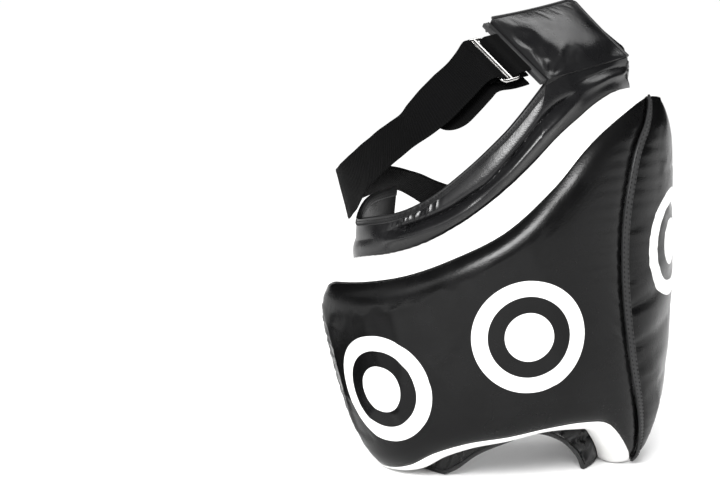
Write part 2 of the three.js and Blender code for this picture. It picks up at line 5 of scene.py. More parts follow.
import bmesh
import bpy
from mathutils import Euler, Matrix, Vector


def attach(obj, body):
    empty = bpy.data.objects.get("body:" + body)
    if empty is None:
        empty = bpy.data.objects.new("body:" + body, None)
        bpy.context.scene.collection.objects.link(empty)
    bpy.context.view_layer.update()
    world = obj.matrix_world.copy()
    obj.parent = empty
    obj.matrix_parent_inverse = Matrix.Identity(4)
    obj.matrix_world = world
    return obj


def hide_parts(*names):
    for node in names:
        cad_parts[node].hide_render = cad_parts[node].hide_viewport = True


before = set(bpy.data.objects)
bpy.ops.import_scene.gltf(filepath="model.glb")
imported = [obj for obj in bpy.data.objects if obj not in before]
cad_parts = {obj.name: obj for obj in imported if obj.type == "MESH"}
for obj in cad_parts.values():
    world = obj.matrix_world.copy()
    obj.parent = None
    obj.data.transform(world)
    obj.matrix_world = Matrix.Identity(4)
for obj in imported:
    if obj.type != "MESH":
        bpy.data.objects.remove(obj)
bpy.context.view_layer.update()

# Inner wrap: the soft vinyl lining that goes round the thigh and stays open at the back, where it is laced.
# The pads are sewn to its outer face. Above them it stands up as a creased collar, drawn in to the belt pad
# on the hip, and below them it ends in a gathered hem.
MM = 0.001
ROW_SHIFT = Vector((-2.244, -3.557, 0.0))
GAP = 0.3
WRAP_WALL = 4.0
FLAP_INNER = -134.0
FLAP_OUTER = 134.0
HEM_BINDING = 5.0
RIM_BINDING = 9.0

# Plan of the wrap by height, in millimetres.
Section = namedtuple("Section", "height half_width front back centre_x centre_y")
SECTIONS = [
    Section(0, 95, 80, 78, 9, 0),
    Section(80, 118, 92, 86, 2, 12),
    Section(170, 132, 104, 95, -4, 24),
    Section(260, 128, 110, 105, -2, 30),
    Section(400, 125, 110, 110, 0, 32),
]

# Edges round the leg by angle: degrees from the front of the thigh, positive towards the outside.
Edge = namedtuple("Edge", "angle rim pad_top top_bevel pad_bottom bottom_bevel hem")
EDGES = [
    Edge(-134, 250, 178, 14, 4, 0.5, 16),
    Edge(-112, 246, 182, 15, 4, 0.5, -1),
    Edge(-90, 233, 190, 17, 4.5, 0.5, -1),
    Edge(-65, 240, 201, 20, 5, 0.5, -1.5),
    Edge(-45, 251, 211, 21, 17, 4, -3),
    Edge(-30, 268, 224, 23, 35, 7, 7),
    Edge(-15, 294, 245, 26, 48, 8, 25),
    Edge(0, 325, 272, 30, 55, 7, 37),
    Edge(15, 358, 303, 25, 62, 6, 45),
    Edge(30, 372, 332, 15, 64, 11, 35),
    Edge(45, 378, 352, 7, 57, 11, 14.5),
    Edge(60, 382, 358, 4, 30, 6, -10),
    Edge(75, 380, 352, 3, 4.5, 0.5, -1.5),
    Edge(90, 366, 333, 5, 4.5, 0.5, -1),
    Edge(112, 308, 276, 10, 4, 0.5, -1),
    Edge(134, 258, 225, 12, 4, 0.5, 16),
]

# The belt pad's own frame on the hip: x along the belt, y up the pad's face, z out of it.
BELT_PAD_LENGTH = 109.0
BELT_PAD_HEIGHT = 82.0
BELT_PAD_EDGE = 8.0
BELT_PAD_CENTRE = Vector((53.0, -18.0, 403.0))
BELT_PAD_YAW = 40.0
BELT_PAD_RISE = 8.4
BELT_PAD_LEAN = 53.0
HIP_TURN = [math.radians(angle) for angle in (90 - BELT_PAD_LEAN, -BELT_PAD_RISE, BELT_PAD_YAW)]
HIP = Matrix.Translation(BELT_PAD_CENTRE) @ Euler(HIP_TURN, "XYZ").to_matrix().to_4x4()
HIP_FROM = 14.0
HIP_TO = 74.0
DRAW_IN = 14.0
TUCKED = 1.5
RIM_TUCK = 2.5

# Long creases of the collar: where each starts and ends round the leg and up the collar, its half width as a
# share of the collar and its depth, then how far below it the ridge lies, the ridge's half width and height.
Crease = namedtuple("Crease", "start end low high width depth drop spread ridge")
COLLAR_CREASES = [
    Crease(-56, 0, 0.62, 0.37, 0.055, 6.0, 0.24, 0.15, 4.5),
    Crease(-12, 36, 0.38, 0.68, 0.06, 6.0, 0.19, 0.16, 6.0),
    Crease(28, 80, 0.78, 0.86, 0.08, 3.0, 0.18, 0.16, 3.0),
    Crease(-110, -56, 0.50, 0.42, 0.12, 1.0, 0.20, 0.18, 1.2),
    Crease(62, 118, 0.60, 0.45, 0.10, 3.0, 0.20, 0.18, 3.0),
]
CREASE_FADE = 16.0
CREASE_WANDER = 0.02
WANDER_RATE = 0.13
CREASE_SHARPNESS = 1.3
COLLAR_FOOT = 0.12
COLLAR_BELLY = 3.0
COLLAR_LEAN = 8.0
LEAN_FROM = -75.0
LEAN_TO = 30.0
LEAN_FADE = 25.0
GATHER_DEPTH = 1.4
GATHER_PITCH = 3.1
GATHER_FROM = -56.0
GATHER_TO = -22.0
GATHER_FADE = 10.0
GATHER_SHARE = 0.74
GATHER_SPREAD = 0.22
PLEAT_DEPTH = 6.0
PLEAT_PITCH = 9.5
PLEAT_SLANT = 0.6
PLEAT_START = -4.0
PLEAT_RISE = 46.0
PLEAT_FADE = 10.0
HEM_CROWDING = 1.5
WRAP_COLUMNS = 340
WRAP_ROWS = 96
COLLAR_SHARE = 0.58
Pleated = namedtuple("Pleated", "start end fade share")
PLEATED = [Pleated(24, 58, 8, 1.0), Pleated(-50, -18, 10, 0.5)]
LACE_ROWS = 6
LACE_LOW = 58.0
LACE_STEP = 26.0
LACE_INSET = 7.0
LACE_HOLE = 3.6
HOLE_SIDES = 20


def mix(first, last, share):
    return first + (last - first) * share


def smooth(value, low, high):
    share = min(max((value - low) / (high - low), 0.0), 1.0)
    return share * share * (3 - 2 * share)


def hump(value):
    return math.exp(-value * value)


def window(value, low, high, fade):
    return smooth(value, low, low + fade) * (1 - smooth(value, high - fade, high))


def uneven(value, seed):
    """A gentle wave without a plain repeat, from -1 to 1."""
    broad = 0.5 * math.sin(value + seed)
    middling = 0.3 * math.sin(1.7 * value + 2.3 * seed)
    fine = 0.2 * math.sin(2.9 * value)
    return broad + middling + fine


def curve_through(rows):
    """Smooth curve through a table's rows, as a function from the first column to a whole row."""
    keys = [row[0] for row in rows]
    last = len(rows) - 1

    def at(key):
        key = min(max(key, keys[0]), keys[-1])
        after = min(max(bisect_right(keys, key), 1), last)
        start, end = keys[after - 1], keys[after]
        first, second = rows[after - 1], rows[after]
        before = after - 2 if after > 1 else after
        beyond = after + 1 if after < last else after - 1
        share = (key - start) / (end - start)
        pull_in = 0.5 * (end - start) / (start - keys[before])
        pull_out = 0.5 * (end - start) / (keys[beyond] - end)
        square = share * share
        cube = square * share
        weights = (
            pull_in * (2 * square - cube - share),
            (1 + pull_in) * cube - (1.5 + 2 * pull_in) * square + (pull_in - 0.5) * share + 1,
            (1.5 + pull_out) * square - (1 + pull_out) * cube + 0.5 * share,
            pull_out * (cube - square),
        )
        columns = zip(rows[before], first, second, rows[beyond])
        return type(first)(*(sum(w * cell for w, cell in zip(weights, column)) for column in columns))

    return at


section_at = curve_through(SECTIONS)
edges_at = curve_through(EDGES)


def out_of(angle, height):
    """Level direction that points straight out of the wrap."""
    plan = section_at(height)
    turn = math.radians(angle)
    depth = plan.front if math.cos(turn) > 0 else plan.back
    return Vector((math.sin(turn) / plan.half_width, -math.cos(turn) / depth, 0)).normalized()


def on_wrap(angle, height, out):
    """Point on the wrap's outer face, moved straight out by the given distance."""
    plan = section_at(height)
    turn = math.radians(angle)
    depth = plan.front if math.cos(turn) > 0 else plan.back
    across = plan.centre_x + plan.half_width * math.sin(turn)
    base = Vector((across, plan.centre_y - depth * math.cos(turn), height))
    return base + out_of(angle, height) * out


def from_hip(along, up, out):
    return HIP @ Vector((along, up, out))


def collar_relief(angle, share):
    """How far the collar's lean, creases, ridges and gathers take its face out."""
    relief = 0.0
    for crease in COLLAR_CREASES:
        fade = window(angle, crease.start, crease.end, CREASE_FADE)
        if fade == 0:
            continue
        run = (angle - crease.start) / (crease.end - crease.start)
        wander = CREASE_WANDER * uneven(WANDER_RATE * angle, crease.start)
        off = share - mix(crease.low, crease.high, run) - wander
        relief -= fade * crease.depth * math.exp(-abs(off / crease.width) ** CREASE_SHARPNESS)
        relief += fade * crease.ridge * hump((off + crease.drop) / crease.spread)
    belly = COLLAR_BELLY * math.sin(math.pi * min(share, 1.0)) - COLLAR_LEAN * share ** 2
    relief += belly * window(angle, LEAN_FROM, LEAN_TO, LEAN_FADE)
    gathers = hump((share - GATHER_SHARE) / GATHER_SPREAD)
    gathers *= window(angle, GATHER_FROM, GATHER_TO, GATHER_FADE)
    relief += GATHER_DEPTH * gathers * uneven(math.tau * angle / GATHER_PITCH, 1.0)
    return relief * smooth(share, 0.0, COLLAR_FOOT)


def on_collar(angle, share, out):
    """Point on the collar by angle and by share of the height from the pads' top to the rim."""
    edge = edges_at(angle)
    height = mix(edge.pad_top, edge.rim, share)
    point = on_wrap(angle, height, out + collar_relief(angle, share))
    drawn = smooth(angle, HIP_FROM - DRAW_IN, HIP_FROM) * (1 - smooth(angle, HIP_TO, HIP_TO + DRAW_IN))
    if drawn == 0:
        return point
    run = min(max((angle - HIP_FROM) / (HIP_TO - HIP_FROM), 0.0), 1.0)
    seat = from_hip((run - 0.5) * BELT_PAD_LENGTH, -BELT_PAD_HEIGHT / 2, 0)
    rim = on_wrap(angle, edge.rim, -WRAP_WALL / 2)
    return point + (seat - rim) * (drawn * share ** 2)


def rim_share(angle):
    """Share of the collar where its wall ends: in the rim binding, and on the hip in the belt pad."""
    edge = edges_at(angle)
    capped = -TUCKED if HIP_FROM < angle < HIP_TO else RIM_BINDING - RIM_TUCK
    return 1 - capped / (edge.rim - edge.pad_top)


def hem_height(angle):
    return max(edges_at(angle).hem, 0.0)


def pleat(angle, rise):
    """Gathers of the wrap's foot under the arch of the front pad."""
    span = sum(part.share * window(angle, part.start, part.end, part.fade) for part in PLEATED)
    wave = 0.5 + 0.5 * math.cos(math.tau * (angle - PLEAT_SLANT * rise) / PLEAT_PITCH)
    return -PLEAT_DEPTH * span * wave * window(rise, PLEAT_START, PLEAT_RISE, PLEAT_FADE)


def wrap_place(u, v, w):
    angle = mix(FLAP_INNER, FLAP_OUTER, u)
    out = mix(-WRAP_WALL, 0, w)
    split = 1 - COLLAR_SHARE
    if v >= split:
        return on_collar(angle, (v - split) / COLLAR_SHARE * rim_share(angle), out)
    edge = edges_at(angle)
    low = hem_height(angle) + HEM_BINDING + GAP
    height = mix(low, edge.pad_top, (v / split) ** HEM_CROWDING)
    return on_wrap(angle, height, out + pleat(angle, height - low))


def grid_order(corners):
    """A number that puts the parts of an unbent wall in order: by face, then by row, then along the row."""
    middle = sum((corner.co for corner in corners), Vector()) / len(corners)
    return middle.z * 1e6 + middle.y * 1e3 + middle.x


def bent_wall(columns, rows, place, cloth=(1, 1), hold=None):
    """A closed wall of two faces, each corner put in place by a function of its three shares. The weave map
    has the given size in metres; hold says how firmly a corner is sewn down."""
    bm = bmesh.new()
    bmesh.ops.create_grid(bm, x_segments=columns, y_segments=rows, size=0.5)
    raised = bmesh.ops.extrude_face_region(bm, geom=bm.faces[:])
    top = [item for item in raised["geom"] if isinstance(item, bmesh.types.BMVert)]
    bmesh.ops.translate(bm, verts=top, vec=(0, 0, 1))
    bm.verts.sort(key=lambda vert: grid_order([vert]))
    bm.edges.sort(key=lambda edge: grid_order(edge.verts))
    bm.faces.sort(key=lambda face: grid_order(face.verts))
    weave = bm.loops.layers.uv.new("weave")
    for face in bm.faces:
        for loop in face.loops:
            corner = loop.vert.co
            loop[weave].uv = ((corner.x + 0.5) * cloth[0], (corner.y + 0.5) * cloth[1])
    sewn = bm.verts.layers.deform.verify() if hold else None
    for vert in bm.verts:
        shares = (vert.co.x + 0.5, vert.co.y + 0.5, vert.co.z)
        if hold:
            vert[sewn][0] = hold(*shares)
        vert.co = (place(*shares) + ROW_SHIFT) * MM
    bmesh.ops.recalc_face_normals(bm, faces=bm.faces)
    return bm


class Shade:
    """A socket of a material's nodes. Operators on it add Math nodes, and node() adds any other node."""

    def __init__(self, tree, socket=None):
        self.tree = tree
        self.socket = socket

    def node(self, kind, settings, inputs, output=0):
        made = self.tree.nodes.new("ShaderNode" + kind)
        for name, value in settings.items():
            setattr(made, name, value)
        for name, value in inputs.items():
            if isinstance(value, Shade):
                self.tree.links.new(value.socket, made.inputs[name])
            else:
                made.inputs[name].default_value = value
        return Shade(self.tree, made.outputs[output])

    def maths(self, operation, first, second):
        return self.node("Math", {"operation": operation}, {0: first, 1: second})

    def __add__(self, other):
        return self.maths("ADD", self, other)

    def __radd__(self, other):
        return self.maths("ADD", other, self)

    def __sub__(self, other):
        return self.maths("SUBTRACT", self, other)

    def __rsub__(self, other):
        return self.maths("SUBTRACT", other, self)

    def __mul__(self, other):
        return self.maths("MULTIPLY", self, other)

    def __rmul__(self, other):
        return self.maths("MULTIPLY", other, self)

    def __pow__(self, other):
        return self.maths("POWER", self, other)

    def step(self, low, high):
        """From 0 below low to 1 above high, with soft ends."""
        settings = {"interpolation_type": "SMOOTHSTEP"}
        return self.node("MapRange", settings, {"Value": self, "From Min": low, "From Max": high})

    def blend(self, first, second):
        """Mixes two colours by this value."""
        return self.node("Mix", {"data_type": "RGBA"}, {0: self, 6: first, 7: second}, 2)

    def noise(self, scale, detail):
        return self.node("TexNoise", {}, {"Vector": self, "Scale": scale, "Detail": detail})

    def bumped(self, strength, distance):
        return self.node("Bump", {}, {"Height": self, "Strength": strength, "Distance": distance})


def finish(name, colour, roughness, metallic=0.0):
    """A new material: its shader, and the piece's own coordinates."""
    material = bpy.data.materials.new(name)
    material.use_nodes = True
    shader = material.node_tree.nodes["Principled BSDF"]
    shader.inputs["Base Color"].default_value = (*colour, 1)
    shader.inputs["Roughness"].default_value = roughness
    shader.inputs["Metallic"].default_value = metallic
    place = Shade(material.node_tree).node("TexCoord", {}, {}, "Object")
    return material, shader, place


def feed(shader, name, value):
    value.tree.links.new(value.socket, shader.inputs[name])


SMUDGE_SCALE = 26
SMUDGE_EDGES = (0.35, 0.72)
SMUDGE_SHARE = 0.8
SMUDGE_GLOSS = 0.10
GRAIN_SCALE = 900.0
GRAIN_SHARE = 0.12
WRINKLE_SCALE = 120
VINYL_BUMP = (0.5, 0.0012)


def vinyl(name, colour, worn_colour, roughness, wrinkle, index=1.46):
    """Coated cloth: a fine pressed grain, small wrinkles, and gloss that varies with handling."""
    material, shader, place = finish(name, colour, roughness)
    shader.inputs["IOR"].default_value = index
    smudge = place.noise(SMUDGE_SCALE, 4).step(*SMUDGE_EDGES)
    feed(shader, "Base Color", (smudge * SMUDGE_SHARE).blend((*colour, 1), (*worn_colour, 1)))
    feed(shader, "Roughness", roughness + SMUDGE_GLOSS * (smudge - 0.4))
    cells = place.node("TexVoronoi", {"feature": "SMOOTH_F1"}, {"Vector": place, "Scale": GRAIN_SCALE})
    height = GRAIN_SHARE * cells + wrinkle * place.noise(WRINKLE_SCALE, 3)
    feed(shader, "Normal", height.bumped(*VINYL_BUMP))
    return material


SHARP_ANGLE = math.radians(40)


def settle(name, bm, materials, slot, *nodes):
    """Makes a bmesh a finished piece that rides on the guard and stands for the named solids."""
    mesh = bpy.data.meshes.new(name)
    bm.to_mesh(mesh)
    bm.free()
    for material in materials:
        mesh.materials.append(material)
    mesh.shade_smooth()
    mesh.set_sharp_from_angle(angle=SHARP_ANGLE)
    piece = bpy.data.objects.new(name, mesh)
    bpy.context.collection.objects.link(piece)
    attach(piece, "root")
    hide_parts(*nodes)
    return piece


def lace_angle(side):
    return FLAP_INNER + LACE_INSET if side < 0 else FLAP_OUTER - LACE_INSET


def lace_height(row):
    return LACE_LOW + row * LACE_STEP


def punch(piece, cutters):
    """Cuts closed shapes out of a piece and keeps the result as its mesh."""
    mesh = bpy.data.meshes.new("punch")
    cutters.to_mesh(mesh)
    cutters.free()
    tool = bpy.data.objects.new("punch", mesh)
    bpy.context.collection.objects.link(tool)
    cut = piece.modifiers.new("punch", "BOOLEAN")
    cut.operation = "DIFFERENCE"
    cut.object = tool
    graph = bpy.context.evaluated_depsgraph_get()
    kept = bpy.data.meshes.new_from_object(piece.evaluated_get(graph))
    piece.modifiers.remove(cut)
    piece.data = kept
    bpy.data.objects.remove(tool)


WRAP_COLOUR = (0.006, 0.006, 0.0065)
WRAP_WORN = (0.010, 0.010, 0.0105)
WRAP_ROUGHNESS = 0.30
WRAP_WRINKLE = 0.30
wrap_vinyl = vinyl("wrap_vinyl", WRAP_COLOUR, WRAP_WORN, WRAP_ROUGHNESS, WRAP_WRINKLE)
wrap = settle(
    "inner_wrap_lining",
    bent_wall(WRAP_COLUMNS, WRAP_ROWS, wrap_place),
    [wrap_vinyl],
    "wrap_vinyl",
    "inner_wrap",
)
holes = bmesh.new()
for side in (-1, 1):
    for row in range(LACE_ROWS):
        angle = lace_angle(side)
        height = lace_height(row)
        centre = (on_wrap(angle, height, -WRAP_WALL / 2) + ROW_SHIFT) * MM
        turn = out_of(angle, height).to_track_quat("Z", "Y").to_matrix().to_4x4()
        bmesh.ops.create_cone(
            holes,
            cap_ends=True,
            segments=HOLE_SIDES,
            radius1=LACE_HOLE * MM,
            radius2=LACE_HOLE * MM,
            depth=4 * WRAP_WALL * MM,
            matrix=Matrix.Translation(centre) @ turn,
        )
punch(wrap, holes)

# Hem binding: a vinyl strip folded over the wrap's lower edge and sewn through with one row of thread. The
# guard stands on it where it reaches the floor.
BINDING_PROUD = 1.0
HEM_RIDGE = 0.5
HEM_STITCH = 3.6
HEM_STITCH_OUT = 0.35
HEM_STITCH_PITCH = 4.2
STRIP_ROUNDNESS = 0.45
RIDGES_FROM = 0.3
BINDING_POINTS = 22
STITCH_LENGTH = 2.6
STITCH_WIDTH = 0.8


def folded_strip(width, thick, ridges, ridge_height, points=BINDING_POINTS):
    """Section of a folded strip: a rounded oblong from 0 to width, with ridges on its outer face."""
    section = []
    for i in range(points):
        turn = math.tau * i / points
        across = math.copysign(abs(math.cos(turn)) ** STRIP_ROUNDNESS, math.cos(turn))
        out = math.copysign(abs(math.sin(turn)) ** STRIP_ROUNDNESS, math.sin(turn)) * thick / 2
        if out > RIDGES_FROM * thick:
            out += ridge_height * (math.cos(math.pi * ridges * across) - 1) / 2
        section.append((width * (across + 1) / 2, out))
    return section


def swept(columns, section, place, loop=False):
    """A closed section carried along: place(column, across, out) puts each of its points."""
    count = len(section)
    bm = bmesh.new()
    bmesh.ops.create_grid(bm, x_segments=columns, y_segments=count, size=0.5)
    weave = bm.loops.layers.uv.new("weave")
    for face in bm.faces:
        for item in face.loops:
            item[weave].uv = (item.vert.co.x + 0.5, item.vert.co.y + 0.5)
    for vert in bm.verts:
        column = round((vert.co.x + 0.5) * columns)
        across, out = section[round((vert.co.y + 0.5) * count) % count]
        vert.co = (place(column, across, out) + ROW_SHIFT) * MM
    bmesh.ops.remove_doubles(bm, verts=bm.verts, dist=1e-6)
    if not loop:
        bmesh.ops.holes_fill(bm, edges=[edge for edge in bm.edges if edge.is_boundary], sides=0)
    bmesh.ops.recalc_face_normals(bm, faces=bm.faces)
    return bm


def sew(bm, line, pitch, length=STITCH_LENGTH, width=STITCH_WIDTH):
    """Adds a row of stitches along a line of points, as the mesh's second material."""
    travelled = 0.0
    due = pitch / 2
    for start, end in zip(line, line[1:]):
        step = (end - start).length
        if step == 0:
            continue
        while due <= travelled + step:
            place = (start.lerp(end, (due - travelled) / step) + ROW_SHIFT) * MM
            turn = (end - start).to_track_quat("X", "Z").to_matrix().to_4x4()
            size = Matrix.Diagonal((length / 2 * MM, width / 2 * MM, width / 2 * MM, 1))
            made = bmesh.ops.create_icosphere(
                bm, subdivisions=1, radius=1, matrix=Matrix.Translation(place) @ turn @ size
            )
            for face in {face for vert in made["verts"] for face in vert.link_faces}:
                face.material_index = 1
            due += pitch
        travelled += step


THREAD_COLOUR = (0.002, 0.002, 0.002)


def thread_finish():
    """Twisted sewing thread: dull, with a fine twist along its strands."""
    material, shader, place = finish("sewing_thread", THREAD_COLOUR, 0.7)
    strand = place.noise(900, 2)
    feed(shader, "Roughness", 0.6 + 0.25 * strand)
    feed(shader, "Normal", strand.bumped(0.4, 0.0003))
    return material


TRIM_COLOUR = (0.014, 0.014, 0.0145)
TRIM_WORN = (0.024, 0.024, 0.0245)
TRIM_ROUGHNESS = 0.42
TRIM_WRINKLE = 0.35
trim_vinyl = vinyl("trim_vinyl", TRIM_COLOUR, TRIM_WORN, TRIM_ROUGHNESS, TRIM_WRINKLE)
thread = thread_finish()


def hem_place(column, across, out):
    angle = mix(FLAP_INNER, FLAP_OUTER, column / WRAP_COLUMNS)
    low = hem_height(angle)
    middle = -(WRAP_WALL + BINDING_PROUD) / 2
    return on_wrap(angle, low + across, middle + out + pleat(angle, across - HEM_BINDING))


hem_section = folded_strip(HEM_BINDING, WRAP_WALL + BINDING_PROUD, 1, HEM_RIDGE)
hem = swept(WRAP_COLUMNS, hem_section, hem_place)
hem_out = WRAP_WALL / 2 + HEM_STITCH_OUT
hem_line = [hem_place(column, HEM_STITCH, hem_out) for column in range(WRAP_COLUMNS + 1)]
sew(hem, hem_line, HEM_STITCH_PITCH)
settle("hem_binding_strip", hem, [trim_vinyl, thread], "trim_vinyl", "hem_binding")

# Front and side pads: firm foam in a cover of glossy black vinyl, stretched over the foam and sewn to the
# gusset all round, so it rolls down and puckers at the seams. Plain white rings are printed on the cover.
PAD_SEAT = 0.8
PAD_EDGE = 35.0
PAD_CROWN = 10.0
PAD_CORNER = 48.0
SEAM_FLATNESS = 0.65
TIGHT_SQUARENESS = 10.0
TIGHT_TO = 0.72
SLACK_FROM = 0.84
BACK_BEVEL_LOW = 5.0
BACK_BEVEL_HIGH = 15.0
SEAM_HALF_GAP = 0.4
FOOT_FADE = 150.0
TOP_ROLL = 2.5
TOP_REACH = 30.0
TIP_ROLL = 5.0
TIP_REACH = 26.0
EDGE_ROLL = 3.0
EDGE_REACH = 13.0
PUCKER_DEPTH = 1.5
PUCKER_PITCH = 12.0
PUCKER_REACH = 16.0
PUCKER_START = 3.0
SIDE_PUCKER = 1.3
SEAM_PUCKER = 0.6
SEAM_ROLL = 0.5
FOLD_SLOPE = 0.3
FOLD_START = 9.0
FOLD_FADE = 1.6

# The seam between the two pads by height.
SeamStop = namedtuple("SeamStop", "height angle")
SEAM = [
    SeamStop(0, 76),
    SeamStop(30, 66),
    SeamStop(85, 53),
    SeamStop(140, 45.5),
    SeamStop(220, 41),
    SeamStop(280, 43),
    SeamStop(320, 48.5),
    SeamStop(356, 62.5),
]
seam_at = curve_through(SEAM)

# Broad folds across the side pad, and short creases that start at the seam: height, half width, depth and
# how far round each one reaches.
Fold = namedtuple("Fold", "height width depth reach")
BROAD_REACH = 1000.0
SIDE_FOLDS = [
    Fold(74, 15, 2.2, BROAD_REACH),
    Fold(122, 17, 2.6, BROAD_REACH),
    Fold(168, 15, 2.0, BROAD_REACH),
    Fold(88, 6.0, 3.0, 24),
    Fold(107, 5.5, 3.0, 28),
    Fold(127, 6.5, 4.2, 34),
    Fold(165, 6.5, 4.2, 32),
    Fold(195, 6.0, 3.0, 24),
    Fold(240, 4.5, 1.6, 22),
]
FRONT_FOLDS = [
    Fold(112, 4.0, 1.2, 16),
    Fold(150, 4.5, 1.4, 18),
    Fold(186, 4.0, 1.0, 16),
]
Pad = namedtuple("Pad", "free_angle seam_gap free_side span squareness foot folds")
FRONT_SPAN = 291.0
SIDE_SPAN = 155.0
front_pad = Pad(-97.0, -SEAM_HALF_GAP, 0, FRONT_SPAN, 4, 0.0, FRONT_FOLDS)
side_pad = Pad(118.0, SEAM_HALF_GAP, 1, SIDE_SPAN, 8, 5.5, SIDE_FOLDS)


def crown(pad, from_free, v):
    """How full a pad is at a point, from 0 at its edges to 1. Its upper half is stuffed tight, except at the
    seam."""
    towards_free = 1 - (1 - 2 * from_free) ** 4
    towards_seam = 1 - (1 - SEAM_FLATNESS) * (2 * from_free - 1) ** 6
    full = pad.squareness
    if v >= 0.5:
        full = mix(TIGHT_SQUARENESS, pad.squareness, smooth(from_free, TIGHT_TO, SLACK_FROM))
    return (towards_free if from_free < 0.5 else towards_seam) * (1 - abs(2 * v - 1) ** full)


def corner_drop(pad, from_free):
    """How far the round corner of a pad's free edge takes its upper and lower edges in."""
    rest = max(PAD_CORNER - pad.span * from_free, 0.0)
    return PAD_CORNER - math.sqrt(PAD_CORNER ** 2 - rest ** 2)


def cover_relief(pad, from_free, height, low, high):
    """The cover's roll at its seams, its puckers and its creases."""
    from_top = max(high - height, 0.0)
    from_side = pad.span * from_free
    from_seam = pad.span * (1 - from_free)
    relief = -TOP_ROLL * max(1 - from_top / TOP_REACH, 0.0) ** 2
    relief -= TIP_ROLL * max(1 - from_top / TIP_REACH, 0.0) * max(1 - from_seam / TIP_REACH, 0.0)
    for distance, share in ((height - low, 1.0), (from_side, 1.0), (from_seam, SEAM_ROLL)):
        relief -= share * EDGE_ROLL * max(1 - max(distance, 0.0) / EDGE_REACH, 0.0) ** 2
    for distance, share in ((from_side, SIDE_PUCKER), (from_seam, SEAM_PUCKER)):
        fade = math.exp(-distance / PUCKER_REACH) * (1 - math.exp(-distance / PUCKER_START))
        relief += share * PUCKER_DEPTH * fade * uneven(math.tau * height / PUCKER_PITCH, pad.free_angle)
    for fold in pad.folds:
        across = hump((height - fold.height - FOLD_SLOPE * from_seam) / fold.width)
        if fold.reach == BROAD_REACH:
            relief -= fold.depth * across * math.sin(math.pi * from_free ** 4)
        else:
            fade = math.exp(-from_seam / fold.reach * FOLD_FADE) * smooth(from_seam, 0, FOLD_START)
            relief -= fold.depth * across * fade
    return relief


def pad_point(pad, u, v, w):
    """Point of a pad: u round the leg, v from its lower edge to its upper one, w from wrap to cover."""
    from_free = u if pad.free_side == 0 else 1 - u
    back_bevel = mix(BACK_BEVEL_LOW, BACK_BEVEL_HIGH, v) * w * (1 - from_free) ** 2
    bevel = math.copysign(back_bevel, -pad.free_angle)

    def angle_at(height):
        return mix(pad.free_angle, seam_at(height).angle + pad.seam_gap, from_free) + bevel

    corner = corner_drop(pad, from_free)
    low = 0.0
    high = SEAM[-1].height
    for _ in range(3):
        low_edge = edges_at(angle_at(low))
        high_edge = edges_at(angle_at(high))
        low = low_edge.pad_bottom - (1 - w) * low_edge.bottom_bevel + corner
        high = high_edge.pad_top - w * high_edge.top_bevel - corner
    height = mix(low, high, v)
    thickness = PAD_EDGE + PAD_CROWN * crown(pad, from_free, v)
    thickness += pad.foot * max(1 - height / FOOT_FADE, 0.0) * (1 - from_free ** 4)
    thickness += cover_relief(pad, from_free, height, low, high)
    return on_wrap(angle_at(height), height, mix(PAD_SEAT, thickness, w))


CROWDING = 1.5


def crowded(pad, u):
    """Columns crowd towards a pad's free edge, where its corners are round."""
    return u ** CROWDING if pad.free_side == 0 else 1 - (1 - u) ** CROWDING


PUFF_FRAMES = 20
PUFF_PRESSURE = 4.0
PUFF_QUALITY = 6
COVER_STIFFNESS = 1.5


def puff(piece, slack, most):
    """Swells a sewn cover with a short cloth simulation. Its seams stay, and no point moves further than the
    given limit."""
    sewn = piece.vertex_groups.new(name="sewn")
    cloth = piece.modifiers.new("stuffing", "CLOTH")
    cloth.settings.quality = PUFF_QUALITY
    cloth.settings.use_pressure = True
    cloth.settings.uniform_pressure_force = PUFF_PRESSURE
    cloth.settings.shrink_min = -slack
    cloth.settings.bending_stiffness = COVER_STIFFNESS
    cloth.settings.vertex_group_mass = sewn.name
    cloth.settings.effector_weights.gravity = 0
    cloth.point_cache.frame_start = 1
    cloth.point_cache.frame_end = PUFF_FRAMES
    scene = bpy.context.scene
    for number in range(1, PUFF_FRAMES + 1):
        scene.frame_set(number)
    swollen = piece.evaluated_get(bpy.context.evaluated_depsgraph_get())
    places = [vert.co.copy() for vert in swollen.data.vertices]
    piece.modifiers.remove(cloth)
    piece.vertex_groups.remove(sewn)
    for vert, place in zip(piece.data.vertices, places):
        move = place - vert.co
        if move.length > 0:
            vert.co += move * (most * math.tanh(move.length / most) / move.length)
    scene.frame_set(1)


RING_OUTER = 0.051
RING_INNER = 0.037
RING_DISC = 0.022
RING_EDGE = 0.0004
RING_DEPTH = 0.024
RING_DEPTH_EDGE = 0.001
Ring = namedtuple("Ring", "centre out")
RINGS = [
    Ring(Vector((-0.1139, -0.0913, 0.0915)), Vector((-0.625, -0.772, -0.119))),
    Ring(Vector((0.0173, -0.1272, 0.1504)), Vector((0.108, -0.994, 0.011))),
    Ring(Vector((0.1580, -0.0270, 0.2180)), Vector((0.926, -0.375, 0.045))),
]
COVER_COLOUR = (0.003, 0.003, 0.0031)
COVER_WORN = (0.005, 0.005, 0.0052)
COVER_ROUGHNESS = 0.26
COVER_WRINKLE = 0.14
COVER_INDEX = 1.34
PRINT_COLOUR = (0.86, 0.86, 0.85)
PRINT_DULLER = 0.12


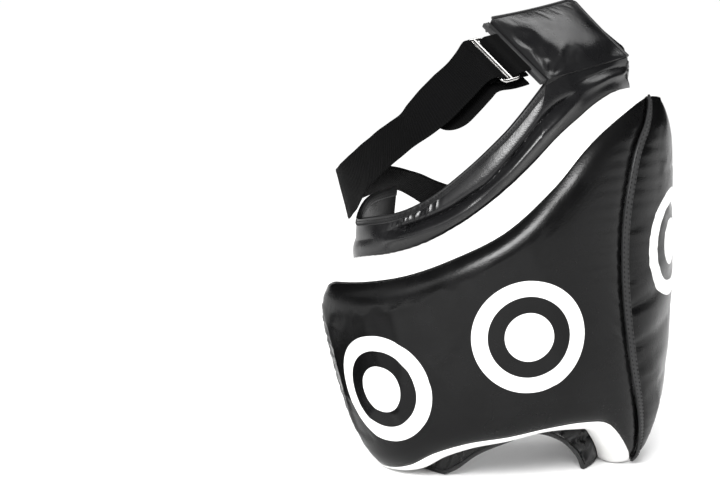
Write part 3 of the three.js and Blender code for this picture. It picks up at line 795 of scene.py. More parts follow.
def ring_print(place, ring):
    """One printed target: a disc in a ring."""
    turn = ring.out.normalized().to_track_quat("Z", "Y").to_euler()
    inputs = {"Vector": place, "Location": ring.centre, "Rotation": turn}
    local = place.node("Mapping", {"vector_type": "TEXTURE"}, inputs)
    x, y, z = (local.node("SeparateXYZ", {}, {"Vector": local}, axis) for axis in "XYZ")
    radius = (x * x + y * y) ** 0.5
    disc = 1 - radius.step(RING_DISC - RING_EDGE, RING_DISC + RING_EDGE)
    inside = 1 - radius.step(RING_OUTER - RING_EDGE, RING_OUTER + RING_EDGE)
    band = radius.step(RING_INNER - RING_EDGE, RING_INNER + RING_EDGE) * inside
    return (disc + band) * z.step(-RING_DEPTH - RING_DEPTH_EDGE, -RING_DEPTH)


def cover_finish():
    """Glossy black vinyl with the printed rings, whose ink is a little duller."""
    surface = (COVER_ROUGHNESS, COVER_WRINKLE, COVER_INDEX)
    material = vinyl("cover_vinyl", COVER_COLOUR, COVER_WORN, *surface)
    shader = material.node_tree.nodes["Principled BSDF"]
    black = Shade(material.node_tree, shader.inputs["Base Color"].links[0].from_socket)
    gloss = Shade(material.node_tree, shader.inputs["Roughness"].links[0].from_socket)
    place = black.node("TexCoord", {}, {}, "Object")
    ink = sum(ring_print(place, ring) for ring in RINGS)
    feed(shader, "Base Color", ink.blend(black, (*PRINT_COLOUR, 1)))
    feed(shader, "Roughness", gloss + PRINT_DULLER * ink)
    return material


cover_vinyl = cover_finish()
FRONT_COLUMNS = 110
SIDE_COLUMNS = 90
PAD_ROWS = 96
SEWN_REACH = 0.12
SEWN_EDGES = (0.3, 1.6)
COVER_SLACK = 0.003
COVER_SWELL = 0.0015
for name, node, pad, columns in (
    ("front_pad_cover", "front_pad", front_pad, FRONT_COLUMNS),
    ("side_pad_cover", "side_pad", side_pad, SIDE_COLUMNS),
):
    def cover_place(u, v, w):
        return pad_point(pad, crowded(pad, u), v, w)

    def cover_hold(u, v, w):
        inset = min(u, 1 - u, v, 1 - v) / SEWN_REACH
        return 1.0 if w < 0.5 else 1 - smooth(inset, *SEWN_EDGES)

    cover = settle(
        name,
        bent_wall(columns, PAD_ROWS, cover_place, hold=cover_hold),
        [cover_vinyl],
        "cover_vinyl",
        node,
    )
    puff(cover, COVER_SLACK, COVER_SWELL)

# Gussets: the white vinyl walls of the pads, sewn between cover and wrap from the seam round the free edges
# and back. They bulge a little, pucker at both sewn edges, and lie flat where the guard stands on them.
GUSSET_WALL = 2.0
GUSSET_BULGE = 2.5
GUSSET_SEAT = 1.35
SEAT_AT_SEAM = 0.4
GUSSET_THIN = 0.4
GUSSET_ACROSS = 12
GUSSET_PUCKER = 0.35
GUSSET_PITCH = 9.0
PUCKER_FALL = 6.0
PUCKER_SEED = 0.7
GUSSET_COLOUR = (0.86, 0.86, 0.85)
GUSSET_SOILED = (0.74, 0.735, 0.72)


def gusset_wall(pad, columns):
    """The strip round a pad: the wall from its back edge to its cover edge at each step along the seam."""
    steps = 2 * columns + PAD_ROWS
    first = 1 if pad.free_side == 0 else 0

    def edge_place(step, across):
        step = min(max(step, 0), steps)
        side = min(max(step - columns, 0), PAD_ROWS) / PAD_ROWS
        from_seam = step if step <= columns else steps - step
        reach = min(from_seam, columns) / columns
        u = 1 - reach if pad.free_side == 0 else reach
        return pad_point(pad, crowded(pad, u), mix(first, 1 - first, side), across)

    backs = [edge_place(step, 0) for step in range(steps + 1)]
    covers = [edge_place(step, 1) for step in range(steps + 1)]
    middles = [back.lerp(cover, 0.5) for back, cover in zip(backs, covers)]
    travelled = [0.0]
    for start, end in zip(middles, middles[1:]):
        travelled.append(travelled[-1] + (end - start).length)

    def place(u, v, w):
        step = round(u * steps)
        along = middles[min(step + 1, steps)] - middles[max(step - 1, 0)]
        face = along.cross(covers[step] - backs[step]).normalized()
        near_seam = math.exp(-PUCKER_FALL * v) + math.exp(-PUCKER_FALL * (1 - v))
        ripple = GUSSET_PUCKER * near_seam * uneven(math.tau * travelled[step] / GUSSET_PITCH, PUCKER_SEED)
        full = math.sin(math.pi * v)
        wall = GUSSET_WALL * (GUSSET_THIN + (1 - GUSSET_THIN) * math.sqrt(full))
        lift = GUSSET_SEAT * mix(SEAT_AT_SEAM, 1, full) + w * (wall + GUSSET_BULGE * full + ripple)
        point = backs[step].lerp(covers[step], v) + face * lift
        point.z = max(point.z, 0.0)
        return point

    return bent_wall(steps, GUSSET_ACROSS, place), travelled[-1] * MM


GUSSET_ROUGHNESS = 0.40
GUSSET_WRINKLE = 0.16
gusset_vinyl = vinyl("gusset_vinyl", GUSSET_COLOUR, GUSSET_SOILED, GUSSET_ROUGHNESS, GUSSET_WRINKLE)
for name, node, pad, columns in (
    ("front_gusset_wall", "front_gusset", front_pad, FRONT_COLUMNS),
    ("side_gusset_wall", "side_gusset", side_pad, SIDE_COLUMNS),
):
    bm, length = gusset_wall(pad, columns)
    wall = settle(name, bm, [gusset_vinyl], "gusset_vinyl", node)

# Seam welt: a folded vinyl strip sewn into the seam between the two pads, flat on top, with a row of stitches
# along each side.
WELT_RADIUS = 3.0
WELT_WIDTH = 8.0
WELT_THICK = 3.4
WELT_STEPS = 160
WELT_RIDGE = 0.5
WELT_STITCH = 2.6
WELT_STITCH_SUNK = 0.1
WELT_STITCH_PITCH = 4.5
welt_frames = []
for step in range(WELT_STEPS + 1):
    share = step / WELT_STEPS
    front = pad_point(front_pad, 1, share, 1)
    side = pad_point(side_pad, 0, share, 1)
    middle = (front + side) / 2
    welt_frames.append((middle, out_of(seam_at(middle.z).angle, middle.z)))


def welt_place(column, across, out):
    middle, over = welt_frames[column]
    before = welt_frames[max(column - 1, 0)][0]
    after = welt_frames[min(column + 1, WELT_STEPS)][0]
    along = (after - before).normalized()
    side = along.cross(over).normalized()
    return middle + side * (across - WELT_WIDTH / 2) + over * (out + WELT_RADIUS)


welt = swept(WELT_STEPS, folded_strip(WELT_WIDTH, WELT_THICK, 2, WELT_RIDGE), welt_place)
welt_out = WELT_THICK / 2 - WELT_STITCH_SUNK
for across in (WELT_WIDTH / 2 - WELT_STITCH, WELT_WIDTH / 2 + WELT_STITCH):
    line = [welt_place(column, across, welt_out) for column in range(WELT_STEPS + 1)]
    sew(welt, line, WELT_STITCH_PITCH)
settle("seam_welt_strip", welt, [trim_vinyl, thread], "trim_vinyl", "seam_welt")

# Rim binding: a vinyl strip folded over the collar's top edge in front of the belt pad and behind it, with
# two ridges and two rows of stitches.
RIM_STEPS = 180
RIM_RIDGE = 0.9
RIM_POINTS = 34
RIM_STITCHES = (2.4, 5.4)
RIM_STITCH_PITCH = 3.4
RIM_STITCH_LENGTH = 2.2
rim_section = folded_strip(RIM_BINDING, WRAP_WALL + 2 * BINDING_PROUD, 3, RIM_RIDGE, RIM_POINTS)
for name, node, first, last, steps in (
    ("rim_binding_front_strip", "rim_binding_front", FLAP_INNER, HIP_FROM, RIM_STEPS),
    ("rim_binding_back_strip", "rim_binding_back", HIP_TO, FLAP_OUTER, RIM_STEPS // 3),
):
    def rim_place(column, across, out):
        angle = mix(first, last, column / steps)
        edge = edges_at(angle)
        share = 1 - (RIM_BINDING - across) / (edge.rim - edge.pad_top)
        return on_collar(angle, share, out - WRAP_WALL / 2)

    rim = swept(steps, rim_section, rim_place)
    for face in (-1, 1):
        depth = face * (WRAP_WALL / 2 + BINDING_PROUD)
        for across in RIM_STITCHES:
            line = [rim_place(column, across, depth) for column in range(steps + 1)]
            sew(rim, line, RIM_STITCH_PITCH, RIM_STITCH_LENGTH)
    settle(name, rim, [trim_vinyl, thread], "trim_vinyl", node)

# Belt pad: a foam cushion on the hip in soft glossy vinyl. Its top and rear edges are boxed, with piping
# along the seam. Its lower and front edges are thin, so the cover sinks and creases there, and a binding
# strip with one row of stitches closes the front edge.
BELT_PAD_THICK = 26.0
BELT_PAD_WALL = 15.0
BELT_PAD_PINCH = 0.04
BELT_PAD_COLUMNS = 56
BELT_PAD_ROWS = 44
PIPING_RADIUS = 1.5
Dent = namedtuple("Dent", "along up wide tall depth")
BELT_PAD_DENTS = [
    Dent(-44, 8, 9, 13, 4.5),
    Dent(-40, -16, 9, 10, 4.5),
    Dent(-42, -33, 9, 6, 2.5),
    Dent(40, -30, 12, 7, 3.0),
]
CORNER_CREASES = 7
CORNER_DEPTH = 1.5
CORNER_REACH = 26.0
CORNER_EDGES = (3, 14)
RELIEF_MARGIN = 0.08
PAD_SEWN_EDGES = (0.01, 0.06)
BELT_PAD_SLACK = 0.003
BELT_PAD_SWELL = 0.002


def belt_pad_relief(along, up):
    """Dents behind the bound front edge, and creases that fan out from the lower front corner."""
    relief = 0.0
    for dent in BELT_PAD_DENTS:
        relief -= dent.depth * hump((along - dent.along) / dent.wide) * hump((up - dent.up) / dent.tall)
    from_corner = Vector((along + BELT_PAD_LENGTH / 2, up + BELT_PAD_HEIGHT / 2))
    turn = math.atan2(from_corner.y, from_corner.x)
    fan = math.sin(CORNER_CREASES * 2 * turn) * math.exp(-from_corner.length / CORNER_REACH)
    return relief + CORNER_DEPTH * fan * smooth(from_corner.length, *CORNER_EDGES)


def belt_pad_place(u, v, w):
    bulge = (1 - (2 * u - 1) ** 4) * (1 - (2 * v - 1) ** 4)
    edge = mix(BELT_PAD_EDGE, BELT_PAD_WALL, max(v, u * math.sqrt(v)) ** 4)
    half = mix(edge, BELT_PAD_THICK, bulge) / 2
    pinch = 1 - BELT_PAD_PINCH * (1 - (2 * v - 1) ** 2)
    along = (u - 0.5) * BELT_PAD_LENGTH
    up = (v - 0.5) * BELT_PAD_HEIGHT * (1 - BELT_PAD_PINCH * (1 - (2 * u - 1) ** 2) * v) + GAP
    inner = min(u, 1 - u, v, 1 - v)
    relief = belt_pad_relief(along, up) * smooth(inner, 0, RELIEF_MARGIN) * w
    return from_hip(along, up, (2 * w - 1) * half * pinch + relief)


def belt_pad_hold(u, v, w):
    inset = min(u, 1 - u, v, 1 - v)
    return 1 - smooth(inset, *PAD_SEWN_EDGES)


belt_pad = settle(
    "belt_pad_cushion",
    bent_wall(BELT_PAD_COLUMNS, BELT_PAD_ROWS, belt_pad_place, hold=belt_pad_hold),
    [wrap_vinyl],
    "wrap_vinyl",
    "belt_pad",
)
puff(belt_pad, BELT_PAD_SLACK, BELT_PAD_SWELL)

PIPING_STEPS = 90
PIPING_SIDES = 10
PIPING_ROUND = 0.06


def piping_line(step):
    """Along the cushion's top edge and down its rear one, with a round corner."""
    share = 2 * step / PIPING_STEPS
    u = min(share, 1.0)
    v = min(2 - share, 1.0)
    near = max(PIPING_ROUND - abs(share - 1), 0) / PIPING_ROUND
    return u - 0.5 * PIPING_ROUND * near, v - 0.5 * PIPING_ROUND * near


def round_section(radius, sides):
    turns = [math.tau * i / sides for i in range(sides)]
    return [(radius * math.cos(turn), radius * math.sin(turn)) for turn in turns]


ASKEW = Vector((0.31, 0.17, 0.93))


def carried(points):
    """Directions across and over a path at each of its points, carried on without twist."""
    last = len(points) - 1
    side = None
    frames = []
    for i, point in enumerate(points):
        along = (points[min(i + 1, last)] - points[max(i - 1, 0)]).normalized()
        start = side or ASKEW.cross(along)
        side = (start - along * start.dot(along)).normalized()
        frames.append((point, side, along.cross(side)))
    return frames


def cord_along(points, radius, sides, loop=False):
    frames = carried(points)

    def place(column, across, out):
        point, side, over = frames[column]
        return point + side * across + over * out

    return swept(len(points) - 1, round_section(radius, sides), place, loop)


def join(target, *others):
    """Adds other meshes to a bmesh."""
    for other in others:
        mesh = bpy.data.meshes.new("joined")
        other.to_mesh(mesh)
        other.free()
        target.from_mesh(mesh)
        bpy.data.meshes.remove(mesh)
    return target


BINDING_WIDTH = 7.0
BINDING_THICK = 5.5
BINDING_SHIFT = 1.5
BINDING_STEPS = 60
BINDING_RIDGE = 1.2
BINDING_SECTION = 30
BINDING_STITCH = 3.5
BINDING_STITCH_SUNK = 1.4
BINDING_STITCH_PITCH = 3.6
BINDING_FRONT = -BELT_PAD_LENGTH / 2 - GAP - BINDING_WIDTH


def pad_binding_place(column, across, out):
    up = mix(-0.5, 0.5, column / BINDING_STEPS) * BELT_PAD_HEIGHT + BINDING_SHIFT
    return from_hip(BINDING_FRONT + across, up, out)


binding_section = folded_strip(BINDING_WIDTH, BINDING_THICK, 2, BINDING_RIDGE, BINDING_SECTION)
pad_binding = swept(BINDING_STEPS, binding_section, pad_binding_place)
binding_out = BINDING_THICK / 2 - BINDING_STITCH_SUNK
binding_line = [pad_binding_place(column, BINDING_STITCH, binding_out) for column in range(BINDING_STEPS + 1)]
sew(pad_binding, binding_line, BINDING_STITCH_PITCH)
piping = []
for w in (0, 1):
    points = [belt_pad_place(*piping_line(step), w) for step in range(PIPING_STEPS + 1)]
    piping.append(cord_along(points, PIPING_RADIUS, PIPING_SIDES))
pad_trim = join(pad_binding, *piping)
settle("belt_pad_trim", pad_trim, [trim_vinyl, thread], "trim_vinyl", "belt_pad_binding")

# Strap slide: a bright frame of nickel-plated steel wire with a flattened middle bar. The webbing tab goes
# round one end bar and holds it to the belt pad, and the belt folds round the other.
SLIDE_LENGTH = 58.0
SLIDE_BAR = 3.2
MIDDLE_BAR = 6.0
BAR_STEPS = 6
SLIDE_PITCH = 10.5
SLIDE_CORNER = 5.0
SLIDE_SIDES = 14
CORNER_STEPS = 8
TAB_LENGTH = 15.0
slide_along = BINDING_FRONT - TAB_LENGTH - SLIDE_PITCH
slide_loop = []
for quarter in range(4):
    x = (SLIDE_PITCH - SLIDE_CORNER) * (1 if quarter in (0, 3) else -1)
    y = ((SLIDE_LENGTH - SLIDE_BAR) / 2 - SLIDE_CORNER) * (1 if quarter < 2 else -1)
    for step in range(CORNER_STEPS + 1):
        turn = (quarter + step / CORNER_STEPS) * math.pi / 2
        corner = (x + SLIDE_CORNER * math.cos(turn), y + SLIDE_CORNER * math.sin(turn))
        slide_loop.append(from_hip(slide_along + corner[0], corner[1], 0))
slide_loop.append(slide_loop[0].copy())
bar_half = (SLIDE_LENGTH - SLIDE_BAR) / 2
slide_frame = cord_along(slide_loop, SLIDE_BAR / 2, SLIDE_SIDES, True)


def bar_place(column, across, out):
    return from_hip(slide_along + across, mix(-bar_half, bar_half, column / BAR_STEPS), out)


bar_section = [(MIDDLE_BAR / SLIDE_BAR * x, y) for x, y in round_section(SLIDE_BAR / 2, SLIDE_SIDES)]
slide_bar = swept(BAR_STEPS, bar_section, bar_place)


NICKEL_COLOUR = (0.70, 0.69, 0.67)


def nickel_finish():
    """Plated steel: bright, with fine scratches and a few duller rubbed patches."""
    material, shader, place = finish("nickel", NICKEL_COLOUR, 0.2, 1.0)
    rubbed = place.noise(160, 4)
    feed(shader, "Roughness", 0.16 + 0.2 * rubbed)
    feed(shader, "Normal", place.noise(150, 2).bumped(0.03, 0.0002))
    return material


settle("strap_slide_wire", join(slide_frame, slide_bar), [nickel_finish()], "nickel", "strap_slide")

# Belt webbing: black ribbed webbing 50 mm wide. A short tab holds the slide to the belt pad. The belt folds
# round the slide's outer bar and runs round the waist to the back of the belt pad, and a flap lies behind the
# slide to keep it off the hip.
WEBBING_WALL = 2.0
BELT_WIDTH = 50.0
FOLD_LIFT = 3.6
FOLD_BACK_WIDTH = 46.0
BELT_LEAD = 8.0
SELVEDGE = 0.07
BODY_SHARE = 0.75
EDGE_ROUND = 0.02
EDGE_THIN = 0.3
WAVE_PITCH = 70.0
TAB_SLACK = 0.0
BELT_SLACK = 0.8
FLAP_SLACK = 0.3
WEBBING_ROWS = 22
PART_BELT_STEPS = 70
FOLD_BACK_TO = 6
FLAP_FIRST = 5
FLAP_LAST = 12
BELT_STEPS = 260
BeltStop = namedtuple("BeltStop", "x y z lean")
BELT_RUN = [
    BeltStop(-52, -87, 364, 41),
    BeltStop(-88, -76, 329, 38),
    BeltStop(-121, -44, 296, 20),
    BeltStop(-143, 0, 263, -8),
    BeltStop(-145, 46, 252, -12),
    BeltStop(-122, 84, 258, 34),
    BeltStop(-84, 104, 256, 62),
    BeltStop(-42, 114, 236, 46),
    BeltStop(6, 116, 234, 26),
    BeltStop(55, 110, 268, 24),
    BeltStop(88, 88, 328, 32),
    BeltStop(103, 48, 388, 46),
]


def smooth_way(points, power):
    """Smooth line through points, as a function of a share of the way. Power 0.5 spaces its knots by the root
    of their distance, and 0 evenly."""
    padded = [points[0] * 2 - points[1], *points, points[-1] * 2 - points[-2]]

    def at(share):
        place = min(max(share, 0.0), 1.0) * (len(points) - 1)
        first = min(int(place), len(points) - 2)
        p0, p1, p2, p3 = padded[first:first + 4]
        d0, d1, d2 = ((b - a).length ** power for a, b in ((p0, p1), (p1, p2), (p2, p3)))
        leave = ((p1 - p0) / d0 - (p2 - p0) / (d0 + d1) + (p2 - p1) / d1) * d1
        arrive = ((p2 - p1) / d1 - (p3 - p1) / (d1 + d2) + (p3 - p2) / d2) * d1
        t = place - first
        return (
            p1 * (2 * t ** 3 - 3 * t ** 2 + 1)
            + leave * (t ** 3 - 2 * t ** 2 + t)
            + p2 * (3 * t ** 2 - 2 * t ** 3)
            + arrive * (t ** 3 - t ** 2)
        )

    return at


hip_up = HIP.to_3x3() @ Vector((0, 1, 0))
belt_bar = slide_along - SLIDE_PITCH
belt_stops = [
    from_hip(belt_bar, 0, FOLD_LIFT),
    from_hip(belt_bar - BELT_LEAD, 0, FOLD_LIFT),
    *(Vector(stop[:3]) for stop in BELT_RUN),
    from_hip(BELT_PAD_LENGTH / 2 + BELT_LEAD, 0, 0),
    from_hip(BELT_PAD_LENGTH / 2 + GAP, 0, 0),
]
Lean = namedtuple("Lean", "step lean")
sewn_lean = [BELT_PAD_LEAN, BELT_PAD_LEAN]
leans = [*sewn_lean, *(stop.lean for stop in BELT_RUN), *sewn_lean]
lean_at = curve_through([Lean(step, lean) for step, lean in enumerate(leans)])
belt_way = smooth_way(belt_stops, 0.5)
WAY_STEP = 0.0001


def belt_frame(share):
    """Point of the belt, the direction across it, and the direction towards the waist."""
    along = (belt_way(share + WAY_STEP) - belt_way(share - WAY_STEP)).normalized()
    lean = math.radians(lean_at(share * (len(leans) - 1)).lean)
    up = (Vector((0, 0, 1)) - along * along.z).normalized()
    across = up * math.cos(lean) + along.cross(up) * math.sin(lean)
    return belt_way(share), across, along.cross(across)


def fold_round(bar, opens, turns=16):
    """Places along and out of the belt pad's face of webbing folded round a bar of the slide."""
    for i in range(turns + 1):
        turn = math.pi * i / turns
        yield bar - opens * FOLD_LIFT * math.sin(turn), -FOLD_LIFT * math.cos(turn)


def webbing_strap(frames, slack):
    """Flat webbing through frames of a point, a direction across and a width, with thick selvedges and a
    slight wave along its edges."""
    steps = len(frames) - 1
    travelled = [0.0]
    for (start, _, _), (end, _, _) in zip(frames, frames[1:]):
        travelled.append(travelled[-1] + (end - start).length)

    def place(u, v, w):
        i = round(u * steps)
        point, across, width = frames[i]
        along = frames[min(i + 1, steps)][0] - frames[max(i - 1, 0)][0]
        face = along.cross(across).normalized()
        from_edge = min(v, 1 - v)
        body = BODY_SHARE + (1 - BODY_SHARE) * hump((from_edge - SELVEDGE / 2) / (SELVEDGE / 2))
        body *= math.sqrt(min(from_edge / EDGE_ROUND, 1.0) * (1 - EDGE_THIN) + EDGE_THIN)
        wave = slack * (2 * v - 1) ** 2 * uneven(math.tau * travelled[i] / WAVE_PITCH, 3 * v)
        return point + across * ((v - 0.5) * width) + face * ((w - 0.5) * WEBBING_WALL * body + wave)

    length = travelled[-1] * MM
    return bent_wall(steps, WEBBING_ROWS, place, (length, frames[0][2] * MM))


WEBBING_COLOUR = (0.002, 0.002, 0.0021)
# Painted shade: the darker tone of the hollows between the ribs.
WEBBING_HOLLOW_SHADE = (0.0006, 0.0006, 0.0006, 1)
WEBBING_RIB = (0.003, 0.003, 0.0032, 1)
RIB_SCALE = 150.0
WARP_SCALE = 240.0


def webbing_finish():
    """Ribbed webbing: fine ribs across, crossed by the warp, and slightly fuzzy. Its colour is painted darker
    in the hollows between the threads, as painted shade, and the fuzz varies the tone at random.
    """
    material, shader, place = finish("webbing", WEBBING_COLOUR, 0.85)
    shader.inputs["Specular IOR Level"].default_value = 0.07
    weave = place.node("UVMap", {"uv_map": "weave"}, {})
    rib = place.node(
        "TexWave",
        {"wave_type": "BANDS", "bands_direction": "X"},
        {"Vector": weave, "Scale": RIB_SCALE, "Distortion": 0.6, "Detail": 1.0},
    )
    warp = place.node(
        "TexWave",
        {"wave_type": "BANDS", "bands_direction": "Y"},
        {"Vector": weave, "Scale": WARP_SCALE, "Distortion": 0.4, "Detail": 1.0},
    )
    fuzz = place.noise(700, 3)
    threads = rib * 0.7 + warp * 0.3
    hollow_shade_and_fuzz = threads * 0.6 + fuzz * 0.4
    # Painted shade: the thread pattern darkens the colour from rib to hollow, and the fuzz adds random tone.
    feed(shader, "Base Color", hollow_shade_and_fuzz.blend(WEBBING_HOLLOW_SHADE, WEBBING_RIB))
    feed(shader, "Roughness", 0.65 + 0.2 * fuzz)
    feed(shader, "Normal", (threads + 0.3 * fuzz).bumped(0.7, 0.0007))
    return material


webbing = webbing_finish()
tab_end = BINDING_FRONT - GAP
tab_places = [
    (tab_end, -FOLD_LIFT),
    *fold_round(slide_along + SLIDE_PITCH, 1),
    (tab_end, FOLD_LIFT),
]
tab_frames = [(from_hip(along, 0, out), hip_up, BELT_WIDTH) for along, out in tab_places]
settle("belt_tab_webbing", webbing_strap(tab_frames, TAB_SLACK), [webbing], "webbing", "belt_tab")

fold_back = []
FOLD_BACK_SAMPLES = 16
for step in range(FOLD_BACK_SAMPLES + 1):
    share = mix(FOLD_BACK_TO, 1, step / FOLD_BACK_SAMPLES) / PART_BELT_STEPS
    point, across, inside = belt_frame(share)
    fold_back.append((point + inside * 2 * FOLD_LIFT, across, FOLD_BACK_WIDTH))
fold_turn = [(from_hip(along, 0, out), hip_up, BELT_WIDTH) for along, out in fold_round(belt_bar, -1)]
belt_round = []
for step in range(BELT_STEPS + 1):
    share = mix(1 / PART_BELT_STEPS, 1, step / BELT_STEPS)
    point, across, _ = belt_frame(share)
    belt_round.append((point, hip_up if step == BELT_STEPS else across, BELT_WIDTH))
belt_frames = [*fold_back, *fold_turn, *belt_round]
settle("belt_strap_webbing", webbing_strap(belt_frames, BELT_SLACK), [webbing], "webbing", "belt_strap")

FLAP_WIDTH = 56.0
FLAP_UNDER_NEAR = 9.5
FLAP_UNDER_FAR = 11.0
FLAP_SHIFT_NEAR = -2.0
FLAP_SHIFT_FAR = -5.0
FLAP_STEPS = 80
flap_stops = []
for along in (BINDING_FRONT - GAP, mix(BINDING_FRONT, belt_bar, 0.5)):
    flap_stops.append((from_hip(along, FLAP_SHIFT_NEAR, -FLAP_UNDER_NEAR), hip_up))
for step in range(FLAP_FIRST, FLAP_LAST):
    share = (step - FLAP_FIRST) / (FLAP_LAST - FLAP_FIRST - 1)
    point, across, inside = belt_frame((step + 1) / PART_BELT_STEPS)
    under = mix(FLAP_UNDER_NEAR + FOLD_LIFT, FLAP_UNDER_FAR, share)
    shift = mix(FLAP_SHIFT_NEAR, FLAP_SHIFT_FAR, share)
    flap_stops.append((point + inside * under + across * shift, across))
flap_way = smooth_way([stop[0] for stop in flap_stops], 0.5)
flap_across = smooth_way([stop[1] for stop in flap_stops], 0.0)
flap_points = [flap_way(step / FLAP_STEPS) for step in range(FLAP_STEPS + 1)]
flap_reach = [0.0]
for start, end in zip(flap_points, flap_points[1:]):
    flap_reach.append(flap_reach[-1] + (end - start).length)
flap_frames = []
for step, point in enumerate(flap_points):
    round_off = min((flap_reach[-1] - flap_reach[step] + GAP) / (FLAP_WIDTH / 2), 1.0)
    width = FLAP_WIDTH * math.sqrt(1 - (1 - round_off) ** 2)
    flap_frames.append((point, flap_across(step / FLAP_STEPS).normalized(), width))
flap_strap = webbing_strap(flap_frames, FLAP_SLACK)
flap = settle("slide_flap_webbing", flap_strap, [webbing], "webbing", "slide_flap")
flap_area = 0.0
for (_, _, width), start, end in zip(flap_frames, flap_reach, flap_reach[1:]):
    flap_area += width * (end - start) * MM ** 2

# Back lace: a round braided cord that zigzags across the open back through the punched holes, pulled taut and
# knotted at both ends.
LACE_RADIUS = 2.2
LACE_OUT = 6.0
LACE_IN = 9.0
LACE_SIDES = 10
LACE_STEPS = 8
KNOT_SIZE = 2.0
KNOT_CORD = 1.9
KNOT_STEPS = 72
KNOT_SCALE = 0.75
KNOT_LOBE = 1.6
KNOT_WEAVE = 1.3
BRAID_PITCH = 4.0
BRAID_TURNS = 2
lace_stops = []
for row in range(LACE_ROWS):
    near = -1 if row % 2 == 0 else 1
    depths = [LACE_OUT, -WRAP_WALL / 2, -LACE_IN]
    for out in depths:
        lace_stops.append(on_wrap(lace_angle(near), lace_height(row), out))
    for out in reversed(depths):
        lace_stops.append(on_wrap(lace_angle(-near), lace_height(row), out))
lace_way = smooth_way(lace_stops, 0.5)
lace_samples = LACE_STEPS * (len(lace_stops) - 1)
lace_points = [lace_way(step / lace_samples) for step in range(lace_samples + 1)]
lace_length = sum((end - start).length for start, end in zip(lace_points, lace_points[1:]))


def knot_line(centre):
    """An overhand knot, drawn tight, as a closed three-lobed loop."""
    for step in range(KNOT_STEPS + 1):
        turn = math.tau * (step % KNOT_STEPS) / KNOT_STEPS
        reach = Vector((
            math.sin(turn) + KNOT_LOBE * math.sin(2 * turn),
            math.cos(turn) - KNOT_LOBE * math.cos(2 * turn),
            -KNOT_WEAVE * math.sin(3 * turn),
        ))
        yield centre + reach * KNOT_SIZE * KNOT_SCALE


LACE_COLOUR = (0.008, 0.008, 0.0085)
# Painted shade: the darker tone of the hollows between the strands.
LACE_HOLLOW_SHADE = (0.003, 0.003, 0.003, 1)
LACE_STRAND = (0.016, 0.016, 0.017, 1)


def lace_finish():
    """Braided cord: a diagonal braid round and along it, its colour painted darker in the hollows between the
    strands as painted shade.
    """
    material, shader, place = finish("lace", LACE_COLOUR, 0.7)
    braid = place.node("UVMap", {"uv_map": "weave"}, {})
    along = place.node("SeparateXYZ", {}, {"Vector": braid}, "X")
    around = place.node("SeparateXYZ", {}, {"Vector": braid}, "Y")
    turns = along * (lace_length / BRAID_PITCH * math.tau)
    first = place.node("Math", {"operation": "SINE"}, {0: turns + around * (BRAID_TURNS * math.tau)})
    second = place.node("Math", {"operation": "SINE"}, {0: turns - around * (BRAID_TURNS * math.tau)})
    strands = first * second * 0.5 + 0.5
    # Painted shade: the braid pattern darkens the colour in the hollows between the strands.
    feed(shader, "Base Color", strands.blend(LACE_HOLLOW_SHADE, LACE_STRAND))
    feed(shader, "Roughness", 0.62 + 0.2 * strands)
    feed(shader, "Normal", strands.bumped(0.6, 0.0006))
    return material


lace = cord_along(lace_points, LACE_RADIUS, LACE_SIDES)
knots = []
for end in (lace_stops[0], lace_stops[-1]):
    knots.append(cord_along(list(knot_line(end)), KNOT_CORD, LACE_SIDES, True))
settle("back_lace_cord", join(lace, *knots), [lace_finish()], "lace", "back_lace")

# Floor, light and camera: a plain white floor in even daylight, and two cards that only reflections see, grey
# on the floor and dark beside the guard. The glossy vinyl mirrors four soft panels: above the camera, in
# front of the guard and beside it on the left, and behind it on the right.
FLOOR_SIZE = 120.0
FLOOR_DROP = 0.0004
FLOOR_GREY = 0.95
CARD_GREY = 0.48
CARD_DARK = 0.03
CARD_DROP = 0.0002
GREY_CARD_PLACE = (0.1, -0.74, -CARD_DROP)
GREY_CARD_SIZE = (1.8, 1.72)
DARK_CARD_PLACE = (-0.235, -0.05, 0.10)
DARK_CARD_SIZE = (0.20, 0.40)
DARK_FRONT = (-0.25, -0.05)
DARK_TOP = (0.06, 0.20)
UPRIGHT = 90
PAINT_ROUGHNESS = 0.8


def paint_sheet(name, place, lean, width, depth, grey):
    """A flat sheet of plain dull paint, leant over towards one side."""
    bm = bmesh.new()
    turn = Matrix.Rotation(math.radians(lean), 4, "Y")
    matrix = Matrix.Translation(place) @ turn @ Matrix.Diagonal((width, depth, 1, 1))
    bmesh.ops.create_grid(bm, x_segments=1, y_segments=1, size=0.5, matrix=matrix)
    mesh = bpy.data.meshes.new(name)
    bm.to_mesh(mesh)
    bm.free()
    paint, shader, _ = finish(name + "_paint", (grey, grey, grey), PAINT_ROUGHNESS)
    shader.inputs["Specular IOR Level"].default_value = 0.0
    mesh.materials.append(paint)
    sheet = bpy.data.objects.new(name, mesh)
    bpy.context.collection.objects.link(sheet)
    return sheet


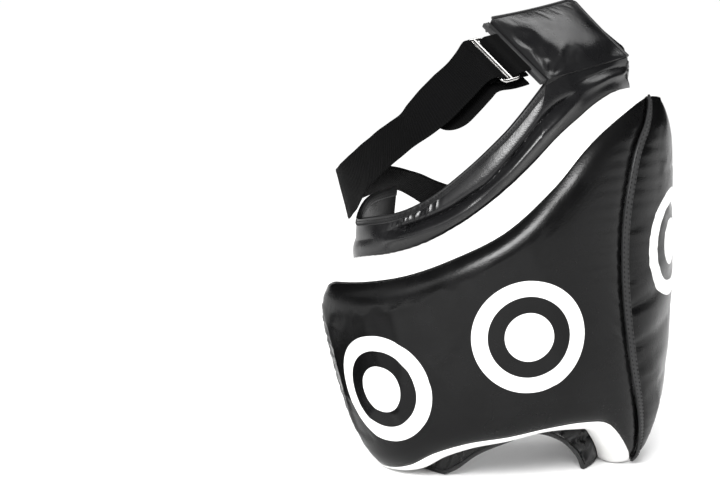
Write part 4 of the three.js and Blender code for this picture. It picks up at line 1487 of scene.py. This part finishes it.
paint_sheet("floor", (0, 0, -FLOOR_DROP), 0, FLOOR_SIZE, FLOOR_SIZE, FLOOR_GREY)
grey_card = paint_sheet("grey_card", GREY_CARD_PLACE, 0, *GREY_CARD_SIZE, CARD_GREY)
dark_card = paint_sheet("dark_card", DARK_CARD_PLACE, UPRIGHT, *DARK_CARD_SIZE, CARD_DARK)
dark_nodes = dark_card.data.materials[0].node_tree
dark_place = Shade(dark_nodes).node("TexCoord", {}, {}, "Object")
back, up = (dark_place.node("SeparateXYZ", {}, {"Vector": dark_place}, axis) for axis in "YZ")
feed(dark_nodes.nodes["Principled BSDF"], "Alpha", back.step(*DARK_FRONT) * (1 - up.step(*DARK_TOP)))
for card in (grey_card, dark_card):
    card.visible_camera = False
    card.visible_diffuse = False
    card.visible_shadow = False
    card.visible_transmission = False

scene = bpy.context.scene
scene.view_settings.view_transform = "Standard"
world = bpy.data.worlds.new("daylight")
world.use_nodes = True
DAYLIGHT = 1.06
world.node_tree.nodes["Background"].inputs["Color"].default_value = (1, 1, 1, 1)
world.node_tree.nodes["Background"].inputs["Strength"].default_value = DAYLIGHT
world.cycles_visibility.glossy = False
scene.world = world


def soft_light(panel):
    """A soft panel of light that faces its target. The camera sees it only in reflections."""
    lamp = bpy.data.lights.new(panel.name, "AREA")
    lamp.shape = "RECTANGLE"
    lamp.size = panel.width
    lamp.size_y = panel.height
    lamp.energy = panel.power
    light = bpy.data.objects.new(panel.name, lamp)
    light.location = panel.place
    facing = Vector(panel.target) - Vector(panel.place)
    light.rotation_euler = facing.to_track_quat("-Z", "Y").to_euler()
    light.visible_camera = False
    bpy.context.collection.objects.link(light)


Panel = namedtuple("Panel", "name place target width height power")
PANELS = [
    Panel("key", (-0.49, -1.42, 1.22), (0.04, -0.11, 0.27), 0.90, 0.45, 42.0),
    Panel("front_left", (-1.31, -0.86, 0.86), (-0.05, -0.08, 0.26), 0.60, 0.40, 1.8),
    Panel("left", (-1.50, -0.15, 0.90), (-0.10, -0.10, 0.20), 1.00, 0.60, 1.1),
    Panel("rear", (0.55, 0.60, 1.65), (0.05, -0.03, 0.41), 0.80, 0.60, 5.4),
]
for panel in PANELS:
    soft_light(panel)

CAMERA_PLACE = (-0.132156, -1.269854, 0.461144)
CAMERA_PITCH = 11.0
CAMERA_LENS = 67.15
lens = bpy.data.cameras.new("camera")
lens.lens = CAMERA_LENS
lens.sensor_width = 36.0
lens.sensor_fit = "HORIZONTAL"
camera = bpy.data.objects.new("camera", lens)
camera.location = CAMERA_PLACE
camera.rotation_euler = (math.radians(90 - CAMERA_PITCH), 0, 0)
bpy.context.collection.objects.link(camera)
scene.camera = camera
